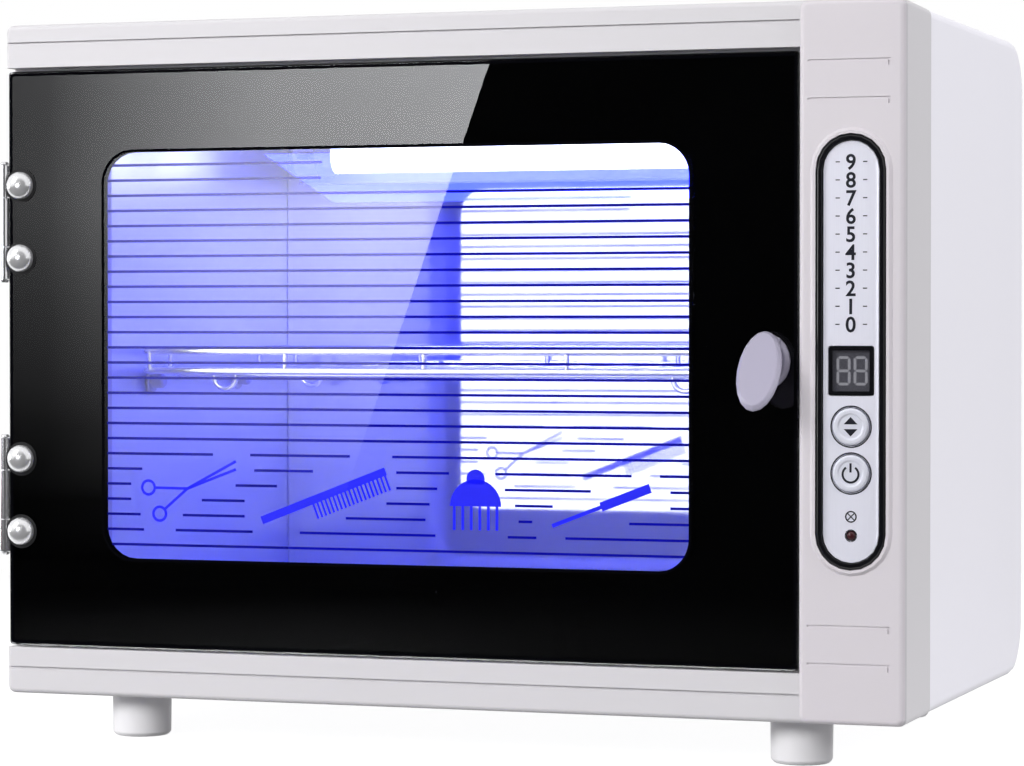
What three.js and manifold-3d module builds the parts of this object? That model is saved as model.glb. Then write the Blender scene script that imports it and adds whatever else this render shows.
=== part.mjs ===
// A tabletop ultraviolet sterilizer cabinet: a moulded case with a mirror-lined chamber, a glass door
// on two hinges, a wire rack, and a control column with a display and two push buttons.
// Lengths are millimetres. X runs to the right of the front, Y from the front to the rear and Z up.
// The case is drawn with X = 0 at its middle, Y = 0 at the frame's face and Z = 0 at its underside,
// and the exported group shifts it so that the origin is the middle of its box, on the floor.
import * as THREE from "three";
import { mergeVertices } from "three/addons/utils/BufferGeometryUtils.js";
import Module from "manifold-3d";

const wasm = await Module();
wasm.setup();

// Driving dimensions
const caseWidth = 370;
const caseDepth = 226;
const caseHeight = 269;
const columnWidth = 40.5;
const mouldedWall = 3;
const sheetWall = 1;
const fit = 0.3; // gap between pieces that seat on each other
const overrun = 1; // how far a cutter runs past what it cuts
const weld = 0.001; // points closer than this are one

const frame = {
  depth: 43,
  draft: 0.5, // how far each side falls in towards the back
  edge: 2,
  corner: 3,
  topBar: 17.2,
  bottomBar: 18.6,
  topGroove: 7.5, // from the top of the case down to the groove
  bottomGroove: 10.4,
  grooveWidth: 1,
  grooveDepth: 1.2,
  windowMargin: 3.5, // from the column's sides to the opening behind its fascia
  windowEnd: 9,
};
const shell = {
  corner: 22,
  edge: 4,
  coverMargin: 24,
  ledge: 5,
  bossRadius: 4,
  bossLength: 9,
  ribThickness: 3,
};
const cover = {
  thickness: 1.2,
  corner: 6,
  screwInset: 6,
  slotLength: 44,
  slotWidth: 3.2,
  slotPitch: 9,
  slotRows: 6,
  slotMargin: 26, // from the plate's sides to the slots
};
const chamber = {
  sideMargin: 35,
  floor: 30,
  ceilingMargin: 29,
  backMargin: 18,
  throatDepth: 22,
  throatStep: 2, // the throat stands in from the lining by this
  throatCorner: 8,
  bend: 3,
};
const door = {
  setBack: 1,
  thickness: 4,
  sideGap: 0.6,
  lowerGap: 0.8,
  upperGap: 1.4,
  corner: 1.5,
  chamfer: 0.6,
  borderSide: 42.6,
  borderTop: 33.2,
  borderBottom: 35.8,
  windowCorner: 12.5,
  printThickness: 0.4,
  printInset: 0.5,
  runningGap: 0.8,
};
const hinge = {
  inset: 60.5, // from the glass's upper and lower edges to the hinge's middle
  barrelRadius: 2.4,
  pinRadius: 1,
  pinHead: 1.2,
  glassGap: 0.4,
  endKnuckle: 12.8,
  middleKnuckle: 19.6,
  leafThickness: 1.2,
  fixedLength: 20,
  movingReach: 13,
  screwInset: 5.6,
  screwSpacing: 29.2,
  padMargin: 2,
};
const doorScrew = { radius: 2, headRadius: 5.6, headHeight: 4.4, rim: 0.8 };
const handle = {
  inset: 11.9, // from the glass's free edge
  padWidth: 18,
  padHeight: 20.6,
  padThickness: 3,
  gripWidth: 17,
  gripLength: 34.4,
  gripThickness: 3.6,
  gripBevel: 1.5,
  tilt: 31, // degrees
  neckWidth: 11,
  neckHeight: 12,
  underCut: 6.5,
  screwDepth: 2.4,
};
const catchParts = {
  plateWidth: 24,
  plateHeight: 17,
  plateOffset: 5, // from the handle's middle towards the chamber
  screwHead: 3.6,
  screwHeadHeight: 1.2,
  magnetWidth: 9,
  magnetHeight: 22,
  magnetShift: 12, // from the handle's middle towards the chamber
  magnetDepth: 5.5,
  flange: 1.6,
};
const fascia = {
  proud: 2.5,
  edge: 2,
  lipWidth: 2.2,
  lipHeight: 1.1,
  grooveInset: 3.6,
  grooveWidth: 0.8,
  grooveDepth: 0.5,
  grooveTurn: 2.2,
  grooveFirst: 22.7, // from the case's ends to the outer groove
  grooveSecond: 36.8,
  postRadius: 2.4,
};
const panel = {
  sideMargin: 7.15,
  height: 161,
  raise: 4, // the panel's middle over the case's middle
  pocket: 0.6, // depth of the pocket's floor behind the frame's face
  ringWidth: 2.2,
  ringFront: 4,
  plateFront: 2.9,
  plateRim: 1.2,
  plateField: 0.4,
  displayMargin: 2.2,
  displayHeight: 17.9,
  displayZ: -7, // heights on the panel are from its middle
  selectZ: -27.6,
  powerZ: -44.9,
  lightZ: -67.9,
  buttonMargin: 3.65,
  lightRadius: 1.7,
};
const lens = { thickness: 1.6, front: 2.7, corner: 0.6 };
const button = {
  front: 3.7,
  rim: 2,
  dish: 0.5,
  bevel: 0.7,
  flangeThickness: 1.2,
  stemRadius: 2,
  stemLength: 0.8,
  travel: 0.8,
};
const board = {
  thickness: 1.6,
  behind: 12, // the board's front face behind the frame's face
  sideInset: 1.6,
  endInset: 4,
  postInset: 3.2,
  partHeight: 7,
  partWidth: 12,
  partLength: 18,
};
const tactSwitch = { size: 6, height: 4, plungerRadius: 1.7 };
const lightPipe = { flange: 1.3, stemRadius: 1.2 };
const lamp = {
  radius: 7.75,
  wall: 0.8,
  backDistance: 18, // from the lining's back to the lamp's middle
  ceilingDistance: 16,
  endRoom: 24,
  capWall: 0.6,
  capLength: 8,
  capFloor: 3,
  pinRadius: 1.2,
  pinLength: 7,
  pinSpacing: 5,
};
const socket = { thickness: 10, headRadius: 9, pinRoom: 0.8, slotWidth: 3.2 };
const bracket = { width: 24, lip: 4, endGap: 8 };
const ballast = {
  width: 42,
  length: 92,
  height: 28,
  ear: 8,
  earThickness: 1.6,
  seat: 5,
  sideRoom: 10,
  edge: 2,
};
const bush = { radius: 8, neck: 5.5, bore: 3.6, flange: 2, length: 14, fromSide: 24, fromBottom: 16 };
const rack = {
  wire: 1.5,
  thinWire: 1.1,
  height: 100, // the base wires' middle above the chamber's floor
  rim: 8,
  sideGap: 3.5,
  frontGap: 18, // behind the throat
  backGap: 12,
  corner: 8,
  pitch: 20,
  linkEvery: 3,
  crossInset: 30,
  loopShare: 0.79, // the loops' place between the rack's middle and its sides
  loopWidth: 10,
  loopDrop: 6,
};
const support = {
  radius: 3,
  length: 7,
  tipShare: 0.7,
  flangeRadius: 5,
  flange: 1.5,
  stemRadius: 2,
  stemLength: 2.5,
  first: 22, // from the rack's front to the first pair
  second: 110,
};
const foot = {
  radius: 12,
  lowerRadius: 11.8,
  height: 17.5,
  edge: 1.4,
  fromLeft: 48.8,
  fromRight: 45.6,
  fromFront: 23.8,
  fromBack: 36,
};
const footScrew = { radius: 2, headRadius: 4, headHeight: 2.6, depth: 8, reach: 7 };
const coverScrew = { radius: 1.6, headRadius: 3.6, headHeight: 2, reach: 7 };
const panCrownShare = 0.72; // the flat on a pan head, of its radius
const pinCrownShare = 0.7;

// How finely round forms are divided
const cornerSteps = 4;
const edgeSteps = 3;
const stadiumSteps = 10;
const roundSteps = 20;
const smallSteps = 10;
const wireSides = 6;
const loopSteps = 8;
const tightSteps = 2; // for corners too small to need more

// Places that several pieces share
const right = caseWidth / 2;
const left = -right;
const columnLeft = right - columnWidth;
const columnMiddle = (columnLeft + right) / 2;
const glassLeft = left + door.sideGap;
const glassRight = columnLeft - door.sideGap;
const glassBottom = frame.bottomBar + door.lowerGap;
const glassTop = caseHeight - frame.topBar - door.upperGap;
const glassMiddle = (glassBottom + glassTop) / 2;
const glassFront = door.setBack;
const glassBack = glassFront + door.thickness;
const printFront = glassBack + fit;
const printBack = printFront + door.printThickness;
const leafFront = printBack + fit;
const leafBack = leafFront + hinge.leafThickness;
const landFront = leafBack + door.runningGap;
const landBack = landFront + mouldedWall;
const chamberLeft = left + chamber.sideMargin;
const chamberRight = columnLeft - chamber.sideMargin;
const chamberMiddle = (chamberLeft + chamberRight) / 2;
const chamberWidth = chamberRight - chamberLeft;
const chamberFloor = chamber.floor;
const chamberCeiling = caseHeight - chamber.ceilingMargin;
const chamberBack = caseDepth - chamber.backMargin;
const liningFront = chamber.throatDepth + fit;
const shellFront = frame.depth + fit;
const shellHalf = right - frame.draft;
const shellTop = caseHeight - frame.draft;
const hingeX = glassLeft - hinge.glassGap - hinge.barrelRadius;
const hingeY = (glassFront + glassBack) / 2;
const hingeHeights = [glassTop - hinge.inset, glassBottom + hinge.inset];
const handleX = glassRight - handle.inset;
const panelMiddle = caseHeight / 2 + panel.raise;
const panelWidth = columnWidth - 2 * panel.sideMargin;
const plateWidth = panelWidth - 2 * panel.ringWidth - 2 * fit;
const plateHeight = panel.height - 2 * panel.ringWidth - 2 * fit;
const displayWidth = plateWidth - 2 * panel.displayMargin;
const buttonRadius = plateWidth / 2 - panel.buttonMargin;
const tubLeft = columnLeft + frame.windowMargin + fit;
const tubRight = right - frame.windowMargin - fit;
const fasciaBack = panel.pocket + mouldedWall;
const boardBack = board.behind + board.thickness;
const leftFootX = left + foot.fromLeft;
const rightFootX = right - foot.fromRight;
const footPlaces = [
  ["front_left_foot", leftFootX, foot.fromFront],
  ["front_right_foot", rightFootX, foot.fromFront],
  ["rear_left_foot", leftFootX, caseDepth - foot.fromBack],
  ["rear_right_foot", rightFootX, caseDepth - foot.fromBack],
];
const lampLength = chamberWidth - 2 * lamp.endRoom;
const lampY = chamberBack - lamp.backDistance;
const lampZ = chamberCeiling - lamp.ceilingDistance;
const coverHalf = shellHalf - shell.coverMargin;
const coverTop = shellTop - shell.coverMargin;
const coverMiddle = (shell.coverMargin + coverTop) / 2;
const coverFront = caseDepth - cover.thickness;
const rackLeft = chamberLeft + rack.sideGap;
const rackRight = chamberRight - rack.sideGap;
const rackFront = chamber.throatDepth + rack.frontGap;
const rackBack = chamberBack - rack.backGap;
const rackBase = chamberFloor + rack.height;
const supportY = [rackFront + support.first, rackFront + support.second];
const supportZ = rackBase - rack.wire - fit - support.radius;

const vec = (x, y, z) => new THREE.Vector3(x, y, z);

// A closed geometry as a solid that can be joined and cut, with its faces turned outwards.
function solid(geometry) {
  const bare = geometry.index ? geometry.toNonIndexed() : geometry.clone();
  bare.deleteAttribute("normal");
  bare.deleteAttribute("uv");
  const merged = mergeVertices(bare, weld);
  const corners = Array.from(merged.index.array);
  const faces = [];
  for (let i = 0; i < corners.length; i += 3) {
    const [a, b, c] = corners.slice(i, i + 3);
    if (a !== b && b !== c && c !== a) faces.push([a, b, c]);
  }
  const build = (list) =>
    new wasm.Manifold(
      new wasm.Mesh({
        numProp: 3,
        vertProperties: merged.attributes.position.array,
        triVerts: new Uint32Array(list.flat()),
      }),
    );
  const made = build(faces);
  return made.volume() < 0 ? build(faces.map(([a, b, c]) => [a, c, b])) : made;
}

const join = (...pieces) => pieces.reduce((sum, piece) => sum.add(piece));
const cut = (piece, ...cutters) => cutters.reduce((rest, cutter) => rest.subtract(cutter), piece);

// Skins a row of convex rings that have the same number of points.
// Its ends are closed with a face each, or the last ring meets the first one again.
function loft(rings, endless = false) {
  const count = rings[0].length;
  const faces = [];
  const spans = endless ? rings.length : rings.length - 1;
  for (let r = 0; r < spans; r++) {
    const next = (r + 1) % rings.length;
    for (let i = 0; i < count; i++) {
      const j = (i + 1) % count;
      faces.push(r * count + i, r * count + j, next * count + j);
      faces.push(r * count + i, next * count + j, next * count + i);
    }
  }
  if (!endless) {
    const last = (rings.length - 1) * count;
    for (let i = 1; i < count - 1; i++) {
      faces.push(0, i + 1, i);
      faces.push(last, last + i, last + i + 1);
    }
  }
  const positions = rings.flat().flatMap((p) => [p.x, p.y, p.z]);
  const geometry = new THREE.BufferGeometry();
  geometry.setAttribute("position", new THREE.Float32BufferAttribute(positions, 3));
  geometry.setIndex(faces);
  return solid(geometry);
}

// A rounded rectangle as points round its middle.
function rounded(width, height, radius, u = 0, v = 0, steps = cornerSteps) {
  const points = [];
  const inU = width / 2 - radius;
  const inV = height / 2 - radius;
  [[1, 1], [-1, 1], [-1, -1], [1, -1]].forEach(([sideU, sideV], quarter) => {
    for (let k = 0; k <= steps; k++) {
      const angle = ((quarter + k / steps) * Math.PI) / 2;
      points.push([u + sideU * inU + radius * Math.cos(angle), v + sideV * inV + radius * Math.sin(angle)]);
    }
  });
  return points;
}

// An upright outline with a half circle at each end.
function stadium(width, height, u = 0, v = 0, steps = stadiumSteps) {
  const radius = width / 2;
  const reach = height / 2 - radius;
  const points = [];
  for (const side of [1, -1])
    for (let k = 0; k <= steps; k++) {
      const angle = (k / steps) * Math.PI;
      points.push([u + side * radius * Math.cos(angle), v + side * (reach + radius * Math.sin(angle))]);
    }
  return points;
}

function oval(width, height, u = 0, v = 0, steps = roundSteps) {
  const points = [];
  for (let k = 0; k < steps; k++) {
    const angle = (k / steps) * 2 * Math.PI;
    points.push([u + (width / 2) * Math.cos(angle), v + (height / 2) * Math.sin(angle)]);
  }
  return points;
}

// A clearance hole's outline for a round piece.
const holeFor = (radius, u, v) => oval(2 * (radius + fit), 2 * (radius + fit), u, v, smallSteps);

// An outline's points set upright at a depth, for lofts that run from front to rear.
const upright = (outline, y) => outline.map(([x, z]) => vec(x, y, z));

// Stations of a quarter round: how far along it runs and how far the outline is drawn in there.
const quarterRound = (radius) =>
  Array.from({ length: edgeSteps + 1 }, (_, k) => {
    const angle = ((k / edgeSteps) * Math.PI) / 2;
    return { along: radius * (1 - Math.cos(angle)), inset: radius * (1 - Math.sin(angle)) };
  });

function prism(outline, depth, holes = []) {
  const toPoints = (list) => list.map(([u, v]) => new THREE.Vector2(u, v));
  const shape = new THREE.Shape(toPoints(outline));
  shape.holes = holes.map((hole) => new THREE.Path(toPoints(hole)));
  return new THREE.ExtrudeGeometry(shape, { depth, bevelEnabled: false });
}

// An outline in X and Z, run from front to rear.
function frontPrism(outline, front, back, holes = []) {
  const facing = new THREE.Matrix4().makeBasis(vec(1, 0, 0), vec(0, 0, 1), vec(0, -1, 0));
  return solid(prism(outline, back - front, holes).applyMatrix4(facing).translate(0, back, 0));
}

// An outline in Y and Z, run from left to right.
function sidePrism(outline, from, to) {
  const across = new THREE.Matrix4().makeBasis(vec(0, 1, 0), vec(0, 0, 1), vec(1, 0, 0));
  return solid(prism(outline, to - from).applyMatrix4(across).translate(from, 0, 0));
}

// A box given by its limits along X, Y and Z.
function block([x0, x1], [y0, y1], [z0, z1]) {
  const box = new THREE.BoxGeometry(x1 - x0, y1 - y0, z1 - z0);
  return solid(box.translate((x0 + x1) / 2, (y0 + y1) / 2, (z0 + z1) / 2));
}

// A closed profile of [radius, place along the axis] turned about an axis through a point.
function turned(profile, axis, [x, y, z], steps = smallSteps) {
  const geometry = new THREE.LatheGeometry(profile.map(([r, h]) => new THREE.Vector2(r, h)), steps);
  if (axis === "X") geometry.rotateZ(-Math.PI / 2);
  if (axis === "Z") geometry.rotateX(Math.PI / 2);
  return solid(geometry.translate(x, y, z));
}

const rod = (radius, from, to, axis, place, steps) =>
  turned([[0, from], [radius, from], [radius, to], [0, to]], axis, place, steps);

// A round wire that follows an endless flat outline at one height.
function wireLoop(outline, radius, z) {
  const count = outline.length;
  const rings = outline.map(([x, y], i) => {
    const [beforeX, beforeY] = outline[(i + count - 1) % count];
    const [afterX, afterY] = outline[(i + 1) % count];
    const out = vec(afterY - beforeY, beforeX - afterX, 0).normalize();
    return Array.from({ length: wireSides }, (_, k) => {
      const angle = (k / wireSides) * 2 * Math.PI;
      return vec(x, y, z)
        .addScaledVector(out, radius * Math.cos(angle))
        .addScaledVector(vec(0, 0, 1), radius * Math.sin(angle));
    });
  });
  return loft(rings, true);
}

// A round wire along a curve.
function bentWire(curve, radius, steps) {
  const outline = oval(2 * radius, 2 * radius, 0, 0, wireSides);
  const section = new THREE.Shape(outline.map(([u, v]) => new THREE.Vector2(u, v)));
  return solid(new THREE.ExtrudeGeometry(section, { steps, extrudePath: curve }));
}

const finish = (color, roughness, metalness = 0) =>
  new THREE.MeshStandardMaterial({ color, roughness, metalness });
const finishes = {
  whitePlastic: finish("#e8e4e6", 0.35),
  shellPlastic: finish("#ebebf3", 0.4),
  blackPlastic: finish("#141416", 0.3),
  silver: finish("#b9bbc4", 0.32, 0.8),
  buttonSilver: finish("#c9cbd4", 0.35, 0.6),
  smokedLens: finish("#55555c", 0.15),
  circuitBoard: finish("#1f5a3c", 0.6),
  darkPlastic: finish("#2b2b30", 0.5),
  redLens: finish("#5d2226", 0.25),
  mirrorSteel: finish("#d5d8e2", 0.08, 1),
  lampGlass: finish("#dfe4ff", 0.1),
  aluminium: finish("#b7bac2", 0.4, 1),
  whiteEnamel: finish("#dfe1e6", 0.4, 0.3),
  zinc: finish("#a9acb2", 0.45, 1),
  chrome: finish("#d8dade", 0.08, 1),
  clearGlass: finish("#cfd9e6", 0.03),
  blackPrint: finish("#0a0a0c", 0.2),
  handlePlastic: finish("#e3e0ea", 0.3),
  wire: finish("#cfd3dc", 0.2, 1),
  ferrite: finish("#3a3a3f", 0.7),
};
for (const name of ["clearGlass", "lampGlass"]) {
  finishes[name].transparent = true;
  finishes[name].opacity = 0.35;
}

// A solid as a named mesh. The solid is drawn in its parent group's frame.
function piece(name, body, material) {
  const made = body.getMesh();
  const geometry = new THREE.BufferGeometry();
  geometry.setAttribute("position", new THREE.BufferAttribute(made.vertProperties, 3));
  geometry.setIndex(new THREE.BufferAttribute(made.triVerts, 1));
  geometry.computeVertexNormals();
  const mesh = new THREE.Mesh(geometry, material);
  mesh.name = name;
  return mesh;
}

// The frame's outline at a depth: its sides and top fall in towards the back, its underside is level.
function frameRing(y, inset) {
  const fall = (frame.draft * y) / frame.depth;
  const width = caseWidth - 2 * (inset + fall);
  const height = caseHeight - 2 * inset - fall;
  return upright(rounded(width, height, frame.corner - inset, 0, inset + height / 2), y);
}

const hingeHalf = hinge.endKnuckle + hinge.middleKnuckle / 2 + fit;
const fixedLeafRight = hingeX + hinge.barrelRadius - fit;
const fixedLeafBack = landFront + hinge.fixedLength;

function makeFrontFrame() {
  const stations = quarterRound(frame.edge).map(({ along, inset }) => frameRing(along, inset));
  const outside = loft([...stations, frameRing(frame.depth, 0)]);
  const pads = hingeHeights.map((z) =>
    block(
      [fixedLeafRight + fit, left + mouldedWall],
      [landFront, fixedLeafBack + hinge.padMargin],
      [z - hingeHalf - hinge.padMargin, z + hingeHalf + hinge.padMargin],
    ),
  );
  const throatWidth = chamberWidth - 2 * chamber.throatStep;
  const throatBottom = chamberFloor + chamber.throatStep;
  const throatHeight = chamberCeiling - chamberFloor - 2 * chamber.throatStep;
  const throatZ = throatBottom + throatHeight / 2;
  const throat = rounded(throatWidth, throatHeight, chamber.throatCorner, chamberMiddle, throatZ);
  const throatRim = rounded(
    throatWidth + 2 * mouldedWall,
    throatHeight + 2 * mouldedWall,
    chamber.throatCorner + mouldedWall,
    chamberMiddle,
    throatZ,
  );
  const inWidth = caseWidth - 2 * (frame.draft + mouldedWall);
  const inTop = caseHeight - frame.draft - mouldedWall;
  const inHeight = inTop - mouldedWall;
  const hollow = rounded(inWidth, inHeight, frame.corner, 0, mouldedWall + inHeight / 2);
  const behind = frame.depth + overrun;
  const inLeft = -inWidth / 2;
  const inRight = inWidth / 2;
  const barDepth = [mouldedWall, landBack + overrun];
  const windowHeight = caseHeight - 2 * frame.windowEnd;
  const magnetX = handleX - catchParts.magnetShift;
  const grooveLeft = left - overrun;
  const grooveSpan = [grooveLeft, columnLeft - fit];
  const grooveAt = (z) =>
    block(grooveSpan, [-overrun, frame.grooveDepth], [z - frame.grooveWidth / 2, z + frame.grooveWidth / 2]);
  return cut(
    join(outside, ...pads),
    block([left - overrun, columnLeft], [-overrun, landFront], [frame.bottomBar, caseHeight - frame.topBar]),
    frontPrism(throat, 0, behind),
    frontPrism(hollow, landBack, chamber.throatDepth + overrun, [throatRim]),
    frontPrism(hollow, chamber.throatDepth, behind),
    block([inLeft, columnLeft], barDepth, [mouldedWall, frame.bottomBar - mouldedWall]),
    block([inLeft, columnLeft], barDepth, [caseHeight - frame.topBar + mouldedWall, inTop]),
    block([columnLeft + mouldedWall, inRight], barDepth, [mouldedWall, inTop]),
    frontPrism(
      rounded(columnWidth - 2 * frame.windowMargin, windowHeight, frame.corner, columnMiddle, caseHeight / 2),
      -overrun,
      mouldedWall + overrun,
    ),
    block(
      [magnetX - catchParts.magnetWidth / 2 - fit, magnetX + catchParts.magnetWidth / 2 + fit],
      [landFront - overrun, landBack + overrun],
      [glassMiddle - catchParts.magnetHeight / 2 - fit, glassMiddle + catchParts.magnetHeight / 2 + fit],
    ),
    rod(
      catchParts.screwHead + fit + door.runningGap,
      landFront - overrun,
      landFront + mouldedWall / 2,
      "Y",
      [handleX, 0, glassMiddle],
    ),
    grooveAt(caseHeight - frame.topGroove),
    grooveAt(frame.bottomGroove),
    ...footPlaces.slice(0, 2).map(([, x, y]) => screwWay(x, y)),
  );
}

const screwWay = (x, y) => rod(footScrew.radius + fit, -overrun, mouldedWall + overrun, "Z", [x, y, 0]);

// The case's side view, drawn in by an inset. Its front is square and its rear corners are round.
function caseSide(inset) {
  const radius = shell.corner - inset;
  const top = shellTop - inset;
  const back = caseDepth - inset;
  const front = shellFront - shell.edge;
  const points = [[front, inset]];
  for (const [middleZ, start] of [[inset + radius, -1], [top - radius, 0]])
    for (let k = 0; k <= 2 * cornerSteps; k++) {
      const angle = ((start + k / (2 * cornerSteps)) * Math.PI) / 2;
      points.push([back - radius + radius * Math.cos(angle), middleZ + radius * Math.sin(angle)]);
    }
  points.push([front, top]);
  return points;
}

const coverScrewPlaces = [-1, 1].flatMap((side) =>
  [shell.coverMargin + cover.screwInset, coverTop - cover.screwInset].map((z) => [
    side * (coverHalf - cover.screwInset),
    z,
  ]),
);
const bushX = coverHalf - bush.fromSide;
const bushZ = shell.coverMargin + bush.fromBottom;
const ballastX = chamberRight + ballast.sideRoom + ballast.width / 2;
const ballastBack = caseDepth - foot.fromBack - foot.radius;
const ballastFront = ballastBack - ballast.length;

function makeCaseShell() {
  const stations = quarterRound(shell.edge);
  const ring = (x, inset) => caseSide(inset).map(([y, z]) => vec(x, y, z));
  const outside = loft([
    ...stations.map(({ along, inset }) => ring(-shellHalf + along, inset)),
    ...stations.toReversed().map(({ along, inset }) => ring(shellHalf - along, inset)),
  ]);
  const ribTop = chamberFloor - sheetWall - fit;
  const ribs = [chamberLeft + chamberWidth / 6, chamberMiddle, chamberRight - chamberWidth / 6].map((x) =>
    block(
      [x - shell.ribThickness / 2, x + shell.ribThickness / 2],
      [shellFront + mouldedWall, chamberBack - chamber.bend],
      [mouldedWall - overrun, ribTop],
    ),
  );
  const seats = [ballastFront, ballastBack - ballast.ear].map((y) =>
    block(
      [ballastX - ballast.width / 2, ballastX + ballast.width / 2],
      [y, y + ballast.ear],
      [mouldedWall - overrun, mouldedWall + ballast.seat],
    ),
  );
  const ledgeBack = coverFront - fit;
  const plateOutline = (grow) =>
    rounded(
      2 * (coverHalf + grow),
      coverTop - shell.coverMargin + 2 * grow,
      cover.corner + grow,
      0,
      coverMiddle,
    );
  const hollow = cut(
    outside,
    block([left, right], [0, shellFront], [-overrun, caseHeight]),
    sidePrism(caseSide(mouldedWall), -shellHalf + mouldedWall, shellHalf - mouldedWall),
    frontPrism(plateOutline(-shell.ledge), chamberBack, caseDepth + overrun),
    frontPrism(plateOutline(fit), ledgeBack, caseDepth + overrun),
  );
  const bosses = coverScrewPlaces.map(([x, z]) =>
    rod(shell.bossRadius, ledgeBack - shell.bossLength, ledgeBack - fit, "Y", [x, 0, z]),
  );
  return cut(
    join(hollow, ...ribs, ...seats, ...bosses),
    ...coverScrewPlaces.map(([x, z]) =>
      rod(coverScrew.radius + fit, ledgeBack - shell.bossLength - overrun, caseDepth, "Y", [x, 0, z]),
    ),
    ...footPlaces.slice(2).map(([, x, y]) => screwWay(x, y)),
  );
}

function makeRearCover() {
  const outline = rounded(2 * coverHalf, coverTop - shell.coverMargin, cover.corner, 0, coverMiddle);
  const slots = [];
  for (const side of [-1, 1])
    for (let row = 0; row < cover.slotRows; row++) {
      const x = side * (coverHalf - cover.slotMargin - cover.slotLength / 2);
      const z = coverMiddle + (row - (cover.slotRows - 1) / 2) * cover.slotPitch;
      slots.push(rounded(cover.slotLength, cover.slotWidth, cover.slotWidth / 2 - weld, x, z, tightSteps));
    }
  const screwHoles = coverScrewPlaces.map(([x, z]) => holeFor(coverScrew.radius, x, z));
  const bushHole = holeFor(bush.neck, bushX, bushZ);
  return frontPrism(outline, coverFront, caseDepth, [...slots, ...screwHoles, bushHole]);
}

// A pan-headed screw that enters along +Z or against Y. Its profile starts at the tip.
const panScrew = ({ radius, headRadius, headHeight, reach }) => [
  [0, -reach],
  [radius, -reach],
  [radius, 0],
  [headRadius, 0],
  [headRadius, headHeight / 2],
  [headRadius * panCrownShare, headHeight],
  [0, headHeight],
];

// A bush with an open bore, its flange outside the rear cover and its groove round the cover's hole.
const makeCableBush = () =>
  turned(
    [
      [bush.bore, -bush.length / 2],
      [bush.neck, -bush.length / 2],
      [bush.neck, fit],
      [bush.radius, fit],
      [bush.radius, bush.flange],
      [bush.neck, bush.length / 2],
      [bush.bore, bush.length / 2],
      [bush.bore, -bush.length / 2],
    ],
    "Y",
    [0, 0, 0],
  );

const panelOutline = (grow) =>
  stadium(panelWidth + 2 * grow, panel.height + 2 * grow, columnMiddle, panelMiddle);

function makeFascia() {
  const width = columnWidth - 2 * fit;
  const height = caseHeight - 2 * fit;
  const middle = caseHeight / 2;
  const ring = (y, inset) =>
    upright(rounded(width - 2 * inset, height - 2 * inset, frame.corner - inset, columnMiddle, middle), y);
  const front = -fascia.proud;
  const flange = loft([
    ...quarterRound(fascia.edge).map(({ along, inset }) => ring(front + along, inset)),
    ring(-fit, 0),
  ]);
  const tubHeight = caseHeight - 2 * (frame.windowEnd + fit);
  const tubMiddle = (tubLeft + tubRight) / 2;
  const tub = frontPrism(
    rounded(tubRight - tubLeft, tubHeight, frame.corner - fit, tubMiddle, middle),
    -fit - overrun / 2,
    fasciaBack,
  );
  const lip = loft([
    upright(panelOutline(fit + fascia.lipWidth), front + overrun),
    upright(panelOutline(fit + fascia.lipWidth), front),
    upright(panelOutline(fit + fascia.lipWidth / 2), front - fascia.lipHeight),
  ]);
  const pocketTop = panelMiddle + panel.height / 2 + fit;
  const pocketBottom = panelMiddle - panel.height / 2 - fit;
  const tubTop = middle + tubHeight / 2;
  const hollowX = [tubLeft + mouldedWall, tubRight - mouldedWall];
  const hollowY = [front + mouldedWall, fasciaBack + overrun];
  const throughHole = (radius, z) =>
    rod(radius + fit, -overrun, fasciaBack + overrun, "Y", [columnMiddle, 0, panelMiddle + z], roundSteps);
  const halfTurn = fascia.grooveWidth / 2;
  const grooveX = [columnLeft + fascia.grooveInset, right - fascia.grooveInset - fascia.edge];
  const grooveY = [front - overrun, front + fascia.grooveDepth];
  const grooves = [fascia.grooveFirst, fascia.grooveSecond].flatMap((z) => [z, caseHeight - z]);
  const grooveCutters = grooves.flatMap((z) => [
    block(grooveX, grooveY, [z - halfTurn, z + halfTurn]),
    block([grooveX[1] - fascia.grooveWidth, grooveX[1]], grooveY, [z - fascia.grooveTurn, z]),
  ]);
  const postSide = board.postInset + fascia.postRadius / 2;
  const postEnd = board.endInset + board.postInset;
  const posts = [tubLeft + postSide, tubRight - postSide].flatMap((x) =>
    [pocketBottom + postEnd, pocketTop - postEnd].map((z) =>
      rod(fascia.postRadius, fasciaBack - overrun, board.behind - fit, "Y", [x, 0, z]),
    ),
  );
  const shelled = cut(
    join(flange, tub, lip),
    frontPrism(panelOutline(fit), front - fascia.lipHeight - overrun, panel.pocket),
    block(hollowX, hollowY, [pocketTop + mouldedWall, tubTop - mouldedWall]),
    block(hollowX, hollowY, [middle - tubHeight / 2 + mouldedWall, pocketBottom - mouldedWall]),
    displayWay(),
    throughHole(buttonRadius, panel.selectZ),
    throughHole(buttonRadius, panel.powerZ),
    throughHole(panel.lightRadius, panel.lightZ),
    ...grooveCutters,
  );
  return join(shelled, ...posts);
}

const displayOutline = (grow) =>
  rounded(
    displayWidth + 2 * grow,
    panel.displayHeight + 2 * grow,
    lens.corner + grow,
    columnMiddle,
    panelMiddle + panel.displayZ,
    tightSteps,
  );
const displayWay = () => frontPrism(displayOutline(fit), -overrun, fasciaBack + overrun);

function makePanelSurround() {
  const back = panel.pocket - fit;
  const chamferDepth = panel.ringWidth / 3;
  const outside = loft([
    upright(panelOutline(0), back),
    upright(panelOutline(0), chamferDepth - panel.ringFront),
    upright(panelOutline(-chamferDepth), -panel.ringFront),
  ]);
  return cut(outside, frontPrism(panelOutline(-panel.ringWidth), -panel.ringFront - overrun, back + overrun));
}

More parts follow.
